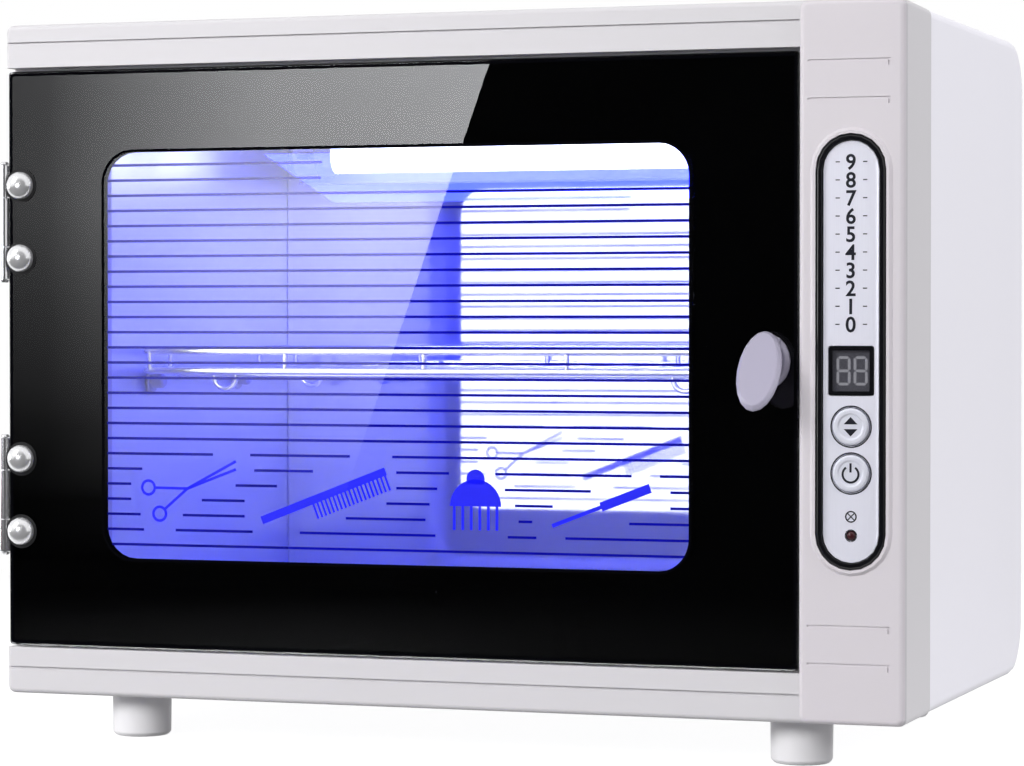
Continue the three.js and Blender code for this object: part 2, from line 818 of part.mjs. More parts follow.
function makePanelPlate() {
  const outline = (grow) => stadium(plateWidth + 2 * grow, plateHeight + 2 * grow, columnMiddle, panelMiddle);
  const front = -panel.plateFront;
  const hole = (radius, z) =>
    rod(radius + fit, front - overrun, panel.pocket, "Y", [columnMiddle, 0, panelMiddle + z], roundSteps);
  return cut(
    frontPrism(outline(0), front, panel.pocket - fit),
    loft([
      upright(outline(-panel.plateRim / 2), front - weld),
      upright(outline(-panel.plateRim), front + panel.plateField),
    ]),
    frontPrism(displayOutline(fit), front - overrun, panel.pocket),
    hole(buttonRadius, panel.selectZ),
    hole(buttonRadius, panel.powerZ),
    hole(panel.lightRadius, panel.lightZ),
  );
}

const makeDisplayLens = () => frontPrism(displayOutline(0), -lens.front, lens.thickness - lens.front);

const makeDisplayModule = () =>
  frontPrism(displayOutline(-fit), lens.thickness + fit - lens.front, board.behind - fit);

const flangeFront = fasciaBack + fit;
const flangeBack = flangeFront + button.flangeThickness;
const stemBack = flangeBack + button.stemLength;
const flangeRadius = (panel.selectZ - panel.powerZ) / 2 - fit;

// A push button as seen from its axis: a dished cap, a retaining flange behind the fascia, a stem.
const makeButton = (z) =>
  turned(
    [
      [0, button.dish - button.front],
      [buttonRadius - button.rim - button.dish, button.dish - button.front],
      [buttonRadius - button.rim, -button.front],
      [buttonRadius - button.bevel, -button.front],
      [buttonRadius, button.bevel - button.front],
      [buttonRadius, flangeFront],
      [flangeRadius, flangeFront],
      [flangeRadius, flangeBack],
      [button.stemRadius, flangeBack],
      [button.stemRadius, stemBack],
      [0, stemBack],
    ],
    "Y",
    [columnMiddle, 0, panelMiddle + z],
    roundSteps,
  );

function makeSwitch(z) {
  const half = tactSwitch.size / 2;
  const bodyFront = board.behind - fit - tactSwitch.height;
  const plungerFront = stemBack + button.travel + fit;
  const place = [columnMiddle, 0, panelMiddle + z];
  return join(
    block(
      [columnMiddle - half, columnMiddle + half],
      [bodyFront, board.behind - fit],
      [place[2] - half, place[2] + half],
    ),
    rod(tactSwitch.plungerRadius, plungerFront, board.behind - 2 * fit, "Y", place),
  );
}

function makePowerLight() {
  const tip = -panel.plateFront;
  const dome = panel.lightRadius / 2;
  const flange = panel.lightRadius + lightPipe.flange;
  return turned(
    [
      [0, tip],
      [panel.lightRadius * Math.cos(Math.PI / 4), tip + dome / 3],
      [panel.lightRadius, tip + dome],
      [panel.lightRadius, flangeFront],
      [flange, flangeFront],
      [flange, flangeBack],
      [lightPipe.stemRadius, flangeBack],
      [lightPipe.stemRadius, board.behind - fit],
      [0, board.behind - fit],
    ],
    "Y",
    [columnMiddle, 0, panelMiddle + panel.lightZ],
  );
}

function makeControlBoard() {
  const bottom = panelMiddle - panel.height / 2 + board.endInset;
  const top = panelMiddle + panel.height / 2 - board.endInset;
  const partAt = (z) =>
    block(
      [columnMiddle - board.partWidth / 2, columnMiddle + board.partWidth / 2],
      [boardBack - fit, boardBack + board.partHeight],
      [z - board.partLength / 2, z + board.partLength / 2],
    );
  return join(
    block([tubLeft + board.sideInset, tubRight - board.sideInset], [board.behind, boardBack], [bottom, top]),
    partAt(top - board.partLength),
    partAt(panelMiddle),
    partAt(bottom + board.partLength),
  );
}

// The lining's folded sheet: floor, back and ceiling, open at the front.
function makeLinerWrap() {
  const height = chamberCeiling - chamberFloor;
  const depth = chamberBack - liningFront;
  const outline = (grow) => {
    const run = 2 * (depth + grow);
    return rounded(run, height + 2 * grow, chamber.bend + grow, liningFront, chamberFloor + height / 2);
  };
  const span = [chamberLeft + fit, chamberRight - fit];
  return cut(
    sidePrism(outline(sheetWall), ...span),
    sidePrism(outline(0), span[0] - overrun, span[1] + overrun),
    block(
      [left, right],
      [liningFront - 2 * depth, liningFront],
      [chamberFloor - 2 * sheetWall, chamberCeiling + 2 * sheetWall],
    ),
  );
}

function makeLinerWall(inner, side) {
  const limits = side < 0 ? [inner - sheetWall, inner] : [inner, inner + sheetWall];
  const height = [chamberFloor - sheetWall, chamberCeiling + sheetWall];
  return cut(
    block(limits, [liningFront, chamberBack + sheetWall], height),
    ...supportY.map((y) =>
      rod(support.stemRadius + fit, inner - 2 * sheetWall, inner + 2 * sheetWall, "X", [0, y, supportZ]),
    ),
  );
}

// A rack stud: a pin and its flange inside the chamber, and a stem through the wall.
const makeSupport = (inner, side, y) =>
  turned(
    [
      [0, -sheetWall - support.stemLength],
      [support.stemRadius, -sheetWall - support.stemLength],
      [support.stemRadius, fit],
      [support.flangeRadius, fit],
      [support.flangeRadius, support.flange],
      [support.radius, support.flange],
      [support.radius, support.length - support.radius / 3],
      [support.radius * support.tipShare, support.length],
      [0, support.length],
    ].map(([r, h]) => [r, -side * h]),
    "X",
    [inner, y, supportZ],
  );

// The lamp's pieces are drawn round the lamp's own middle, with its axis along X.
const lampEnd = lampLength / 2;
const lampCapRadius = lamp.radius + fit + lamp.capWall;

const makeLampTube = () => {
  const end = lampEnd - lamp.capFloor - fit;
  const inner = lamp.radius - lamp.wall;
  return turned(
    [[inner, -end], [lamp.radius, -end], [lamp.radius, end], [inner, end], [inner, -end]],
    "X",
    [0, 0, 0],
    roundSteps,
  );
};

function makeLampCap(side) {
  const cup = [
    [0, lampEnd],
    [lampCapRadius, lampEnd],
    [lampCapRadius, lampEnd - lamp.capLength],
    [lamp.radius + fit, lampEnd - lamp.capLength],
    [lamp.radius + fit, lampEnd - lamp.capFloor],
    [0, lampEnd - lamp.capFloor],
  ].map(([r, h]) => [r, side * h]);
  const pinReach = [side * (lampEnd - lamp.capFloor / 2), side * (lampEnd + lamp.pinLength)];
  const pin = (z) => rod(lamp.pinRadius, ...pinReach, "X", [0, 0, z]);
  return join(turned(cup, "X", [0, 0, 0], roundSteps), pin(-lamp.pinSpacing / 2), pin(lamp.pinSpacing / 2));
}

// A lamp holder: a round head with a blind well for the pins, a slot to turn them in, a square base.
function makeLampSocket(side) {
  const face = lampEnd + fit;
  const base = lamp.backDistance - fit - sheetWall - fit;
  const outline = [[base, -socket.headRadius]];
  for (let k = 0; k <= stadiumSteps; k++) {
    const angle = -Math.PI / 2 - (k / stadiumSteps) * Math.PI;
    outline.push([socket.headRadius * Math.cos(angle), socket.headRadius * Math.sin(angle)]);
  }
  outline.push([base, socket.headRadius]);
  const onSide = (from, to) => [side * from, side * to].sort((a, b) => a - b);
  const span = onSide(face, face + socket.thickness);
  const wellRadius = lamp.pinSpacing / 2 + lamp.pinRadius + socket.pinRoom;
  const wellDepth = onSide(face - overrun, lampEnd + lamp.pinLength + socket.pinRoom);
  return cut(
    sidePrism(outline, ...span),
    rod(wellRadius, ...wellDepth, "X", [0, 0, 0]),
    block(wellDepth, [-socket.headRadius - overrun, 0], [-socket.slotWidth / 2, socket.slotWidth / 2]),
  );
}

// A folded channel on the lining's back that carries both lamp holders.
function makeLampBracket() {
  const back = chamberBack - fit;
  const half = bracket.width / 2;
  const span = [chamberLeft + bracket.endGap, chamberRight - bracket.endGap];
  return cut(
    block(span, [back - sheetWall - bracket.lip, back], [lampZ - half, lampZ + half]),
    block(
      [span[0] - overrun, span[1] + overrun],
      [back - sheetWall - bracket.lip - overrun, back - sheetWall],
      [lampZ - half + sheetWall, lampZ + half - sheetWall],
    ),
  );
}

function makeBallast() {
  const seatTop = mouldedWall + ballast.seat + fit;
  const low = seatTop + ballast.earThickness / 2;
  const half = ballast.width / 2;
  const middle = (ballastFront + ballastBack) / 2;
  const ring = (z, draw) => {
    const length = ballast.length - 2 * (ballast.ear + draw);
    const outline = rounded(ballast.width - 2 * draw, length, ballast.edge, ballastX, middle, tightSteps);
    return outline.map(([x, y]) => vec(x, y, z));
  };
  const top = low + ballast.height;
  const plateZ = [seatTop, seatTop + ballast.earThickness];
  return join(
    loft([ring(low, 0), ring(top - ballast.edge, 0), ring(top, ballast.edge / 2)]),
    block([ballastX - half, ballastX + half], [ballastFront, ballastBack], plateZ),
  );
}

function makeCatchMagnet() {
  const x = handleX - catchParts.magnetShift;
  const front = leafBack + door.runningGap / 2;
  const rect = (width, height) => [
    [x - width / 2, x + width / 2],
    [glassMiddle - height / 2, glassMiddle + height / 2],
  ];
  const [bodyX, bodyZ] = rect(catchParts.magnetWidth, catchParts.magnetHeight);
  const [flangeX, flangeZ] = rect(
    catchParts.magnetWidth + 2 * catchParts.flange,
    catchParts.magnetHeight + 2 * catchParts.flange,
  );
  return join(
    block(bodyX, [front, front + catchParts.magnetDepth], bodyZ),
    block(flangeX, [landBack + fit, landBack + fit + catchParts.flange], flangeZ),
  );
}

// Each foot is drawn from its own top middle.
const footBore = footScrew.radius + fit;
const makeFoot = () =>
  turned(
    [
      [footBore, -fit],
      [footBore, footScrew.depth - foot.height],
      [footScrew.headRadius + fit, footScrew.depth - foot.height],
      [footScrew.headRadius + fit, -foot.height],
      [foot.lowerRadius - foot.edge, -foot.height],
      [foot.lowerRadius, foot.edge - foot.height],
      [foot.radius, -fit],
      [footBore, -fit],
    ],
    "Z",
    [0, 0, 0],
    roundSteps,
  );

const makeFootScrew = () => {
  const seat = footScrew.depth - foot.height - fit;
  const { radius, headRadius, headHeight } = footScrew;
  return turned(
    [
      [0, seat - headHeight],
      [headRadius, seat - headHeight],
      [headRadius, seat],
      [radius, seat],
      [radius, mouldedWall + footScrew.reach / 2],
      [0, mouldedWall + footScrew.reach / 2],
    ],
    "Z",
    [0, 0, 0],
  );
};

// A hinge is drawn round its own middle, with the pin along Z.
const knuckleEdges = [hingeHalf, hinge.middleKnuckle / 2 + fit];
const barrelBore = hinge.pinRadius + fit;
const hingeBore = () => rod(barrelBore, -hingeHalf - overrun, hingeHalf + overrun, "Z", [0, 0, 0]);

function makeFixedLeaf() {
  const half = hinge.middleKnuckle / 2;
  const leafRight = fixedLeafRight - hingeX;
  const leafX = [leafRight - hinge.leafThickness, leafRight];
  const start = landFront - hingeY;
  return cut(
    join(
      rod(hinge.barrelRadius, -half, half, "Z", [0, 0, 0]),
      block(leafX, [0, start + overrun], [-half, half]),
      block(leafX, [start, start + hinge.fixedLength], [-hingeHalf, hingeHalf]),
    ),
    hingeBore(),
  );
}

function makeMovingLeaf() {
  const leafY = [leafFront - hingeY, leafBack - hingeY];
  const reach = glassLeft + hinge.movingReach - hingeX;
  const gap = hinge.barrelRadius + fit;
  const half = hinge.middleKnuckle / 2;
  const knuckles = [-1, 1].flatMap((side) => {
    const limits = knuckleEdges.map((z) => side * z).sort((a, b) => a - b);
    return [
      rod(hinge.barrelRadius, ...limits, "Z", [0, 0, 0]),
      block([-hinge.barrelRadius / 2, hinge.barrelRadius], [0, leafY[1]], limits),
      block([0, reach], leafY, limits),
    ];
  });
  return cut(
    join(...knuckles, block([gap + hinge.barrelRadius, reach], leafY, [-half - 2 * fit, half + 2 * fit])),
    hingeBore(),
    ...[-1, 1].map((side) =>
      rod(doorScrew.radius + fit, leafY[0] - overrun, leafY[1] + overrun, "Y", [
        glassLeft + hinge.screwInset - hingeX,
        0,
        (side * hinge.screwSpacing) / 2,
      ]),
    ),
  );
}

const makeHingePin = () => {
  const end = hingeHalf + fit;
  const headRadius = hinge.barrelRadius - fit;
  return turned(
    [
      [0, -end - hinge.pinHead],
      [headRadius * pinCrownShare, -end - hinge.pinHead],
      [headRadius, -end],
      [hinge.pinRadius, -end],
      [hinge.pinRadius, end],
      [headRadius, end],
      [headRadius * pinCrownShare, end + hinge.pinHead],
      [0, end + hinge.pinHead],
    ],
    "Z",
    [0, 0, 0],
  );
};

const doorHolePlaces = [
  [handleX, glassMiddle],
  ...hingeHeights.flatMap((z) => [
    [glassLeft + hinge.screwInset, z + hinge.screwSpacing / 2],
    [glassLeft + hinge.screwInset, z - hinge.screwSpacing / 2],
  ]),
];
const doorHoles = (front, back) =>
  doorHolePlaces.map(([x, z]) =>
    rod(doorScrew.radius + fit, front - overrun, back + overrun, "Y", [x, 0, z]),
  );
const doorOutline = (inset) =>
  rounded(
    glassRight - glassLeft - 2 * inset,
    glassTop - glassBottom - 2 * inset,
    door.corner,
    (glassLeft + glassRight) / 2,
    glassMiddle,
  );

function makeDoorGlass() {
  const slab = loft([
    upright(doorOutline(door.chamfer), glassFront),
    upright(doorOutline(0), glassFront + door.chamfer),
    upright(doorOutline(0), glassBack - door.chamfer),
    upright(doorOutline(door.chamfer), glassBack),
  ]);
  return cut(slab, ...doorHoles(glassFront, glassBack));
}

function makeDoorPrint() {
  const windowLeft = glassLeft + door.borderSide;
  const windowRight = glassRight - door.borderSide;
  const windowBottom = glassBottom + door.borderBottom;
  const windowTop = glassTop - door.borderTop;
  const opening = rounded(
    windowRight - windowLeft,
    windowTop - windowBottom,
    door.windowCorner,
    (windowLeft + windowRight) / 2,
    (windowBottom + windowTop) / 2,
    cornerSteps + 2,
  );
  const film = frontPrism(doorOutline(door.printInset), printFront, printBack, [opening]);
  return cut(film, ...doorHoles(printFront, printBack));
}

// The pull: an oval pad on the glass, a short neck and an oval grip that leans out from its top.
function makeHandle() {
  const seat = glassFront - fit;
  const tilt = THREE.MathUtils.degToRad(handle.tilt);
  const top = glassMiddle + handle.padHeight / 2;
  const padRing = (y, draw) =>
    upright(oval(handle.padWidth - 2 * draw, handle.padHeight - 2 * draw, handleX, glassMiddle), y);
  const pad = loft([
    padRing(seat, 0),
    padRing(seat - handle.padThickness + handle.gripBevel, 0),
    padRing(seat - handle.padThickness, handle.gripBevel),
  ]);
  const lean = new THREE.Matrix4()
    .makeBasis(vec(1, 0, 0), vec(0, Math.sin(tilt), Math.cos(tilt)), vec(0, -Math.cos(tilt), Math.sin(tilt)))
    .setPosition(handleX, seat - handle.gripBevel, top);
  const gripRing = (out, draw) =>
    oval(handle.gripWidth - 2 * draw, handle.gripLength - 2 * draw, 0, -handle.gripLength / 2).map(([u, v]) =>
      vec(u, v, out).applyMatrix4(lean),
    );
  const grip = loft([
    gripRing(0, handle.gripBevel),
    gripRing(handle.gripBevel, 0),
    gripRing(handle.gripThickness - handle.gripBevel, 0),
    gripRing(handle.gripThickness, handle.gripBevel),
  ]);
  const neckBottom = top - handle.gripBevel - handle.neckHeight;
  const neckFront = seat - handle.padThickness - handle.neckHeight * Math.tan(tilt);
  const neckSide = [
    [seat - handle.gripBevel, neckBottom],
    [neckFront, neckBottom],
    [seat - handle.padThickness, top - handle.gripBevel],
    [seat - handle.gripBevel, top - handle.gripBevel],
  ];
  const neck = cut(
    sidePrism(neckSide, handleX - handle.neckWidth / 2, handleX + handle.neckWidth / 2),
    rod(
      handle.underCut,
      handleX - handle.neckWidth,
      handleX + handle.neckWidth,
      "X",
      [0, seat - handle.padThickness - handle.underCut, neckBottom - handle.underCut / 3],
      roundSteps,
    ),
  );
  return cut(
    join(pad, grip, neck),
    block(
      [handleX - handle.gripWidth, handleX + handle.gripWidth],
      [seat, seat + handle.gripWidth],
      [top - handle.gripLength, top + handle.gripLength],
    ),
    rod(doorScrew.radius + fit, seat - handle.screwDepth, seat + overrun, "Y", [handleX, 0, glassMiddle]),
  );
}

// A dome-headed screw through the glass, drawn from the glass's face.
const makeDomeScrew = () => {
  const { radius, headRadius, headHeight, rim } = doorScrew;
  const tip = leafBack - glassFront;
  const dome = [];
  for (let k = 0; k <= cornerSteps; k++) {
    const angle = ((k / cornerSteps) * Math.PI) / 2;
    dome.push([headRadius * Math.cos(angle), -fit - rim - (headHeight - rim) * Math.sin(angle)]);
  }
  dome[cornerSteps][0] = 0;
  return turned([[0, tip], [radius, tip], [radius, -fit], [headRadius, -fit], ...dome], "Y", [0, 0, 0]);
};

const makeHandleScrew = () => {
  const head = leafBack + fit;
  return turned(
    [
      [0, glassFront - handle.screwDepth],
      [doorScrew.radius, glassFront - handle.screwDepth],
      [doorScrew.radius, head],
      [catchParts.screwHead, head],
      [catchParts.screwHead, head + catchParts.screwHeadHeight],
      [0, head + catchParts.screwHeadHeight],
    ],
    "Y",
    [handleX, 0, glassMiddle],
  );
};

function makeStrikePlate() {
  const middle = handleX - catchParts.plateOffset;
  const { plateWidth: width, plateHeight: height } = catchParts;
  const outline = rounded(width, height, door.corner, middle, glassMiddle, tightSteps);
  return frontPrism(outline, leafFront, leafBack, [holeFor(doorScrew.radius, handleX, glassMiddle)]);
}

// The rack: two wire loops joined by short links, bars from front to rear, and loops under two cross bars.
function makeRack() {
  const middleX = (rackLeft + rackRight) / 2;
  const middleY = (rackFront + rackBack) / 2;
  const outline = rounded(
    rackRight - rackLeft - 2 * rack.wire,
    rackBack - rackFront - 2 * rack.wire,
    rack.corner,
    middleX,
    middleY,
  );
  const innerLeft = rackLeft + rack.wire;
  const innerRight = rackRight - rack.wire;
  const innerFront = rackFront + rack.wire;
  const innerBack = rackBack - rack.wire;
  const wires = [wireLoop(outline, rack.wire, rackBase), wireLoop(outline, rack.wire, rackBase + rack.rim)];
  const halfBars = Math.floor((innerRight - middleX - rack.corner / 2) / rack.pitch);
  for (let bar = -halfBars; bar <= halfBars; bar++) {
    const x = middleX + bar * rack.pitch;
    wires.push(rod(rack.thinWire, innerFront, innerBack, "Y", [x, 0, rackBase], wireSides));
    if (bar % rack.linkEvery === 0)
      for (const y of [innerFront, innerBack])
        wires.push(rod(rack.thinWire, rackBase, rackBase + rack.rim, "Z", [x, y, 0], wireSides));
  }
  for (const x of [innerLeft, innerRight])
    for (const y of [innerFront + rack.crossInset, innerBack - rack.crossInset])
      wires.push(rod(rack.thinWire, rackBase, rackBase + rack.rim, "Z", [x, y, 0], wireSides));
  const reach = halfBars * rack.pitch + rack.thinWire;
  const crossZ = rackBase - 2 * rack.thinWire + fit;
  for (const y of [innerFront + rack.crossInset, innerBack - rack.crossInset]) {
    wires.push(rod(rack.thinWire, middleX - reach, middleX + reach, "X", [0, y, crossZ], wireSides));
    for (const side of [-1, 1]) {
      const x = middleX + (side * rack.loopShare * (rackRight - rackLeft)) / 2;
      const half = rack.loopWidth / 2;
      const points = [
        vec(x - half, y, crossZ),
        vec(x - half, y, crossZ - rack.loopDrop / 3),
        vec(x - half / 2, y, crossZ - rack.loopDrop),
        vec(x + half / 2, y, crossZ - rack.loopDrop),
        vec(x + half, y, crossZ - rack.loopDrop / 3),
        vec(x + half, y, crossZ),
      ];
      wires.push(bentWire(new THREE.CatmullRomCurve3(points), rack.thinWire, loopSteps));
    }
  }
  return join(...wires);
}

const sterilizer = new THREE.Group();
const place = (mesh, x, y, z) => {
  mesh.position.set(x, y, z);
  return mesh;
};

const cabinet = new THREE.Group();
cabinet.add(
  piece("front_frame", makeFrontFrame(), finishes.whitePlastic),
  piece("case_shell", makeCaseShell(), finishes.shellPlastic),
  piece("rear_cover", makeRearCover(), finishes.whiteEnamel),
  piece("catch_magnet", makeCatchMagnet(), finishes.ferrite),
  piece("ballast", makeBallast(), finishes.whiteEnamel),
  place(piece("cable_bush", makeCableBush(), finishes.blackPlastic), bushX, caseDepth, bushZ),
);
coverScrewPlaces.forEach(([x, z], i) => {
  const screw = piece("rear_screw_" + (i + 1), turned(panScrew(coverScrew), "Y", [0, 0, 0]), finishes.zinc);
  cabinet.add(place(screw, x, caseDepth + fit, z));
});
footPlaces.forEach(([name, x, y]) => {
  cabinet.add(place(piece(name, makeFoot(), finishes.whitePlastic), x, y, 0));
  cabinet.add(place(piece(name + "_screw", makeFootScrew(), finishes.zinc), x, y, 0));
});

const column = new THREE.Group();
column.add(
  piece("column_fascia", makeFascia(), finishes.whitePlastic),
  piece("panel_surround", makePanelSurround(), finishes.blackPlastic),
  piece("panel_plate", makePanelPlate(), finishes.silver),
  piece("display_lens", makeDisplayLens(), finishes.smokedLens),
  piece("display_module", makeDisplayModule(), finishes.darkPlastic),
  piece("control_board", makeControlBoard(), finishes.circuitBoard),
  piece("select_switch", makeSwitch(panel.selectZ), finishes.darkPlastic),
  piece("power_switch", makeSwitch(panel.powerZ), finishes.darkPlastic),
  piece("power_light", makePowerLight(), finishes.redLens),
  piece("select_button", makeButton(panel.selectZ), finishes.buttonSilver),
  piece("power_button", makeButton(panel.powerZ), finishes.buttonSilver),
);

const lining = new THREE.Group();
lining.add(
  piece("liner_wrap", makeLinerWrap(), finishes.mirrorSteel),
  piece("liner_left_wall", makeLinerWall(chamberLeft, -1), finishes.mirrorSteel),
  piece("liner_right_wall", makeLinerWall(chamberRight, 1), finishes.mirrorSteel),
  piece("lamp_bracket", makeLampBracket(), finishes.whiteEnamel),
  piece("rack", makeRack(), finishes.wire),
);
for (const [side, word, inner] of [[-1, "left", chamberLeft], [1, "right", chamberRight]])
  supportY.forEach((y, i) => {
    const name = (i ? "rear_" : "front_") + word + "_rack_support";
    lining.add(piece(name, makeSupport(inner, side, y), finishes.whitePlastic));
  });

const lampGroup = new THREE.Group();
lampGroup.position.set(chamberMiddle, lampY, lampZ);
lampGroup.add(
  piece("lamp_tube", makeLampTube(), finishes.lampGlass),
  piece("lamp_left_cap", makeLampCap(-1), finishes.aluminium),
  piece("lamp_right_cap", makeLampCap(1), finishes.aluminium),
  piece("lamp_left_socket", makeLampSocket(-1), finishes.whitePlastic),
  piece("lamp_right_socket", makeLampSocket(1), finishes.whitePlastic),
);

const doorGroup = new THREE.Group();
doorGroup.add(
  piece("door_glass", makeDoorGlass(), finishes.clearGlass),
  piece("door_print", makeDoorPrint(), finishes.blackPrint),
  piece("handle", makeHandle(), finishes.handlePlastic),
  piece("handle_screw", makeHandleScrew(), finishes.zinc),
  piece("strike_plate", makeStrikePlate(), finishes.zinc),
);
["upper", "lower"].forEach((word, i) => {
  const middle = hingeHeights[i];
  const hingeGroup = new THREE.Group();
  hingeGroup.position.set(hingeX, hingeY, middle);
  hingeGroup.add(
    piece(word + "_hinge_fixed_leaf", makeFixedLeaf(), finishes.chrome),
    piece(word + "_hinge_moving_leaf", makeMovingLeaf(), finishes.chrome),
    piece(word + "_hinge_pin", makeHingePin(), finishes.chrome),
  );
  doorGroup.add(hingeGroup);
  [1, -1].forEach((side) => {
    const name = word + "_hinge_" + (side > 0 ? "top" : "bottom") + "_screw";
    const screw = piece(name, makeDomeScrew(), finishes.chrome);
    const z = middle + (side * hinge.screwSpacing) / 2;
    doorGroup.add(place(screw, glassLeft + hinge.screwInset, glassFront, z));
  });
});

sterilizer.add(cabinet, column, lining, lampGroup, doorGroup);

// The box round everything gives the shift to the origin.
sterilizer.updateMatrixWorld(true);
const box = new THREE.Box3().setFromObject(sterilizer, true);
sterilizer.children.forEach((group) => {
  group.position.x -= (box.min.x + box.max.x) / 2;
  group.position.y -= (box.min.y + box.max.y) / 2;
  group.position.z -= box.min.z;
});

export default sterilizer;
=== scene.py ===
# A tabletop ultraviolet sterilizer cabinet: its finishes, its fine parts and the studio round it.
# Lengths are metres in the frame's own coordinates: X to the right of the front, Y to the rear, Z up.
import math

import bmesh
import bpy
from mathutils import Matrix, Vector


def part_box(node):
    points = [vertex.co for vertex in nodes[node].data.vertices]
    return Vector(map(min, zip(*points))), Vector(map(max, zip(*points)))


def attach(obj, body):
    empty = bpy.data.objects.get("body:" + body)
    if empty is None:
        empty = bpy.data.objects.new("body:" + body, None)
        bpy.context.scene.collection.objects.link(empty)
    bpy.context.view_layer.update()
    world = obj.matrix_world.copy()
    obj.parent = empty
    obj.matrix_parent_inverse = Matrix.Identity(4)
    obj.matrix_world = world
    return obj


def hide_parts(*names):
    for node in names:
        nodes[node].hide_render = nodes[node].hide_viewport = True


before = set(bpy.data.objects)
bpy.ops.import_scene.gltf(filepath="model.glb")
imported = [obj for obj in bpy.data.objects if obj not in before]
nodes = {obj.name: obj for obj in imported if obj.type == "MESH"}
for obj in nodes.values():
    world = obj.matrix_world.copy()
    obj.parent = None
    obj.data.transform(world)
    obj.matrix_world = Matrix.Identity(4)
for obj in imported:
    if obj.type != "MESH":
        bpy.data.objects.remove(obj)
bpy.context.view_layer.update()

scene = bpy.context.scene
scene.view_settings.view_transform = "Standard"
print("frame loaded:", len(nodes), "nodes")

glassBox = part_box("door_glass")
glassFront, glassBack = glassBox[0].y, glassBox[1].y


# Small tools for building meshes and trees

def feed(tree, inputs, feeds):
    # feeds are values or output sockets for a node's inputs
    for name, value in feeds.items():
        if isinstance(value, bpy.types.NodeSocket):
            tree.links.new(value, inputs[name])
        else:
            inputs[name].default_value = value


def add(tree, kind, feeds=None, **settings):
    node = tree.nodes.new(kind)
    for name, value in settings.items():
        setattr(node, name, value)
    feed(tree, node.inputs, feeds or {})
    return node


def newTree(name, kind, takes, gives):
    tree = bpy.data.node_groups.new(name, kind)
    for label, socketType, value in takes:
        socket = tree.interface.new_socket(label, in_out="INPUT", socket_type="NodeSocket" + socketType)
        if value is not None:
            socket.default_value = value
    for label, socketType in gives:
        tree.interface.new_socket(label, in_out="OUTPUT", socket_type="NodeSocket" + socketType)
    start = tree.nodes.new("NodeGroupInput")
    end = tree.nodes.new("NodeGroupOutput")
    return tree, start.outputs, end.inputs


def reckon(tree, operation, *values):
    return add(tree, "ShaderNodeMath", dict(enumerate(values)), operation=operation).outputs[0]


def blend(tree, factor, a, b):
    return add(tree, "ShaderNodeMix", {"Factor": factor, "A": a, "B": b}).outputs[0]


def carried(tree, value, ends, tones=(0, 1), **settings):
    # a value taken from one range to another
    return add(tree, "ShaderNodeMapRange", {"Value": value, "From Min": ends[0], "From Max": ends[1],
                                            "To Min": tones[0], "To Max": tones[1]}, **settings).outputs[0]


def growingTree(name, takes=()):
    # a Geometry Nodes tree that takes a seed and a finish, and whatever else its sizes need
    return newTree(name, "GeometryNodeTree", [("Geometry", "Geometry", None), *takes,
                                              ("Finish", "Material", None)], [("Geometry", "Geometry")])


def setInputs(modifier, tree, values):
    modifier.node_group = tree
    for item in tree.interface.items_tree:
        if item.item_type == "SOCKET" and item.in_out == "INPUT" and item.name in values:
            modifier[item.identifier] = values[item.name]


def objectFrom(name, mesh, finish=None):
    piece = bpy.data.objects.new(name, mesh)
    scene.collection.objects.link(piece)
    if finish:
        mesh.materials.clear()
        mesh.materials.append(finish)
    return piece


def meshFrom(name, shape, outward=True):
    if outward:
        bmesh.ops.recalc_face_normals(shape, faces=shape.faces)
    mesh = bpy.data.meshes.new(name)
    shape.to_mesh(mesh)
    shape.free()
    return mesh


def baked(piece, name, finish=None):
    # the piece's evaluated shape as a plain mesh with no modifiers
    graph = bpy.context.evaluated_depsgraph_get()
    made = objectFrom(name, bpy.data.meshes.new_from_object(piece.evaluated_get(graph)), finish)
    bpy.data.objects.remove(piece)
    return made


def grown(name, seed, tree, finish, **values):
    # runs a Geometry Nodes tree on a seed and keeps the result as a plain mesh
    setInputs(seed.modifiers.new(tree.name, "NODES"), tree, {**values, "Finish": finish})
    return baked(seed, name, finish)


def smooth(piece, degrees=40):
    piece.data.shade_smooth()
    piece.data.set_sharp_from_angle(angle=math.radians(degrees))
    return piece


def setBack(piece, y):
    # moves a flat piece, drawn with its front at Y = 0, to its depth
    piece.data.transform(Matrix.Translation((0, y, 0)))
    return piece


def middleOf(name):
    low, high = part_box(name)
    return (low + high) / 2


# Shared shader effects

def tintBy(tree, given, result, noise, toneSpread, roughSpread):
    # tone and roughness that follow a noise round their own values
    centred = reckon(tree, "SUBTRACT", noise, 0.5)
    share = reckon(tree, "MULTIPLY_ADD", centred, given[toneSpread], 1)
    toned = add(tree, "ShaderNodeVectorMath", {0: given["Colour"], "Scale": share}, operation="SCALE")
    rough = reckon(tree, "MULTIPLY_ADD", centred, given[roughSpread], given["Roughness"])
    feed(tree, result, {"Colour": toned.outputs[0], "Roughness": rough})


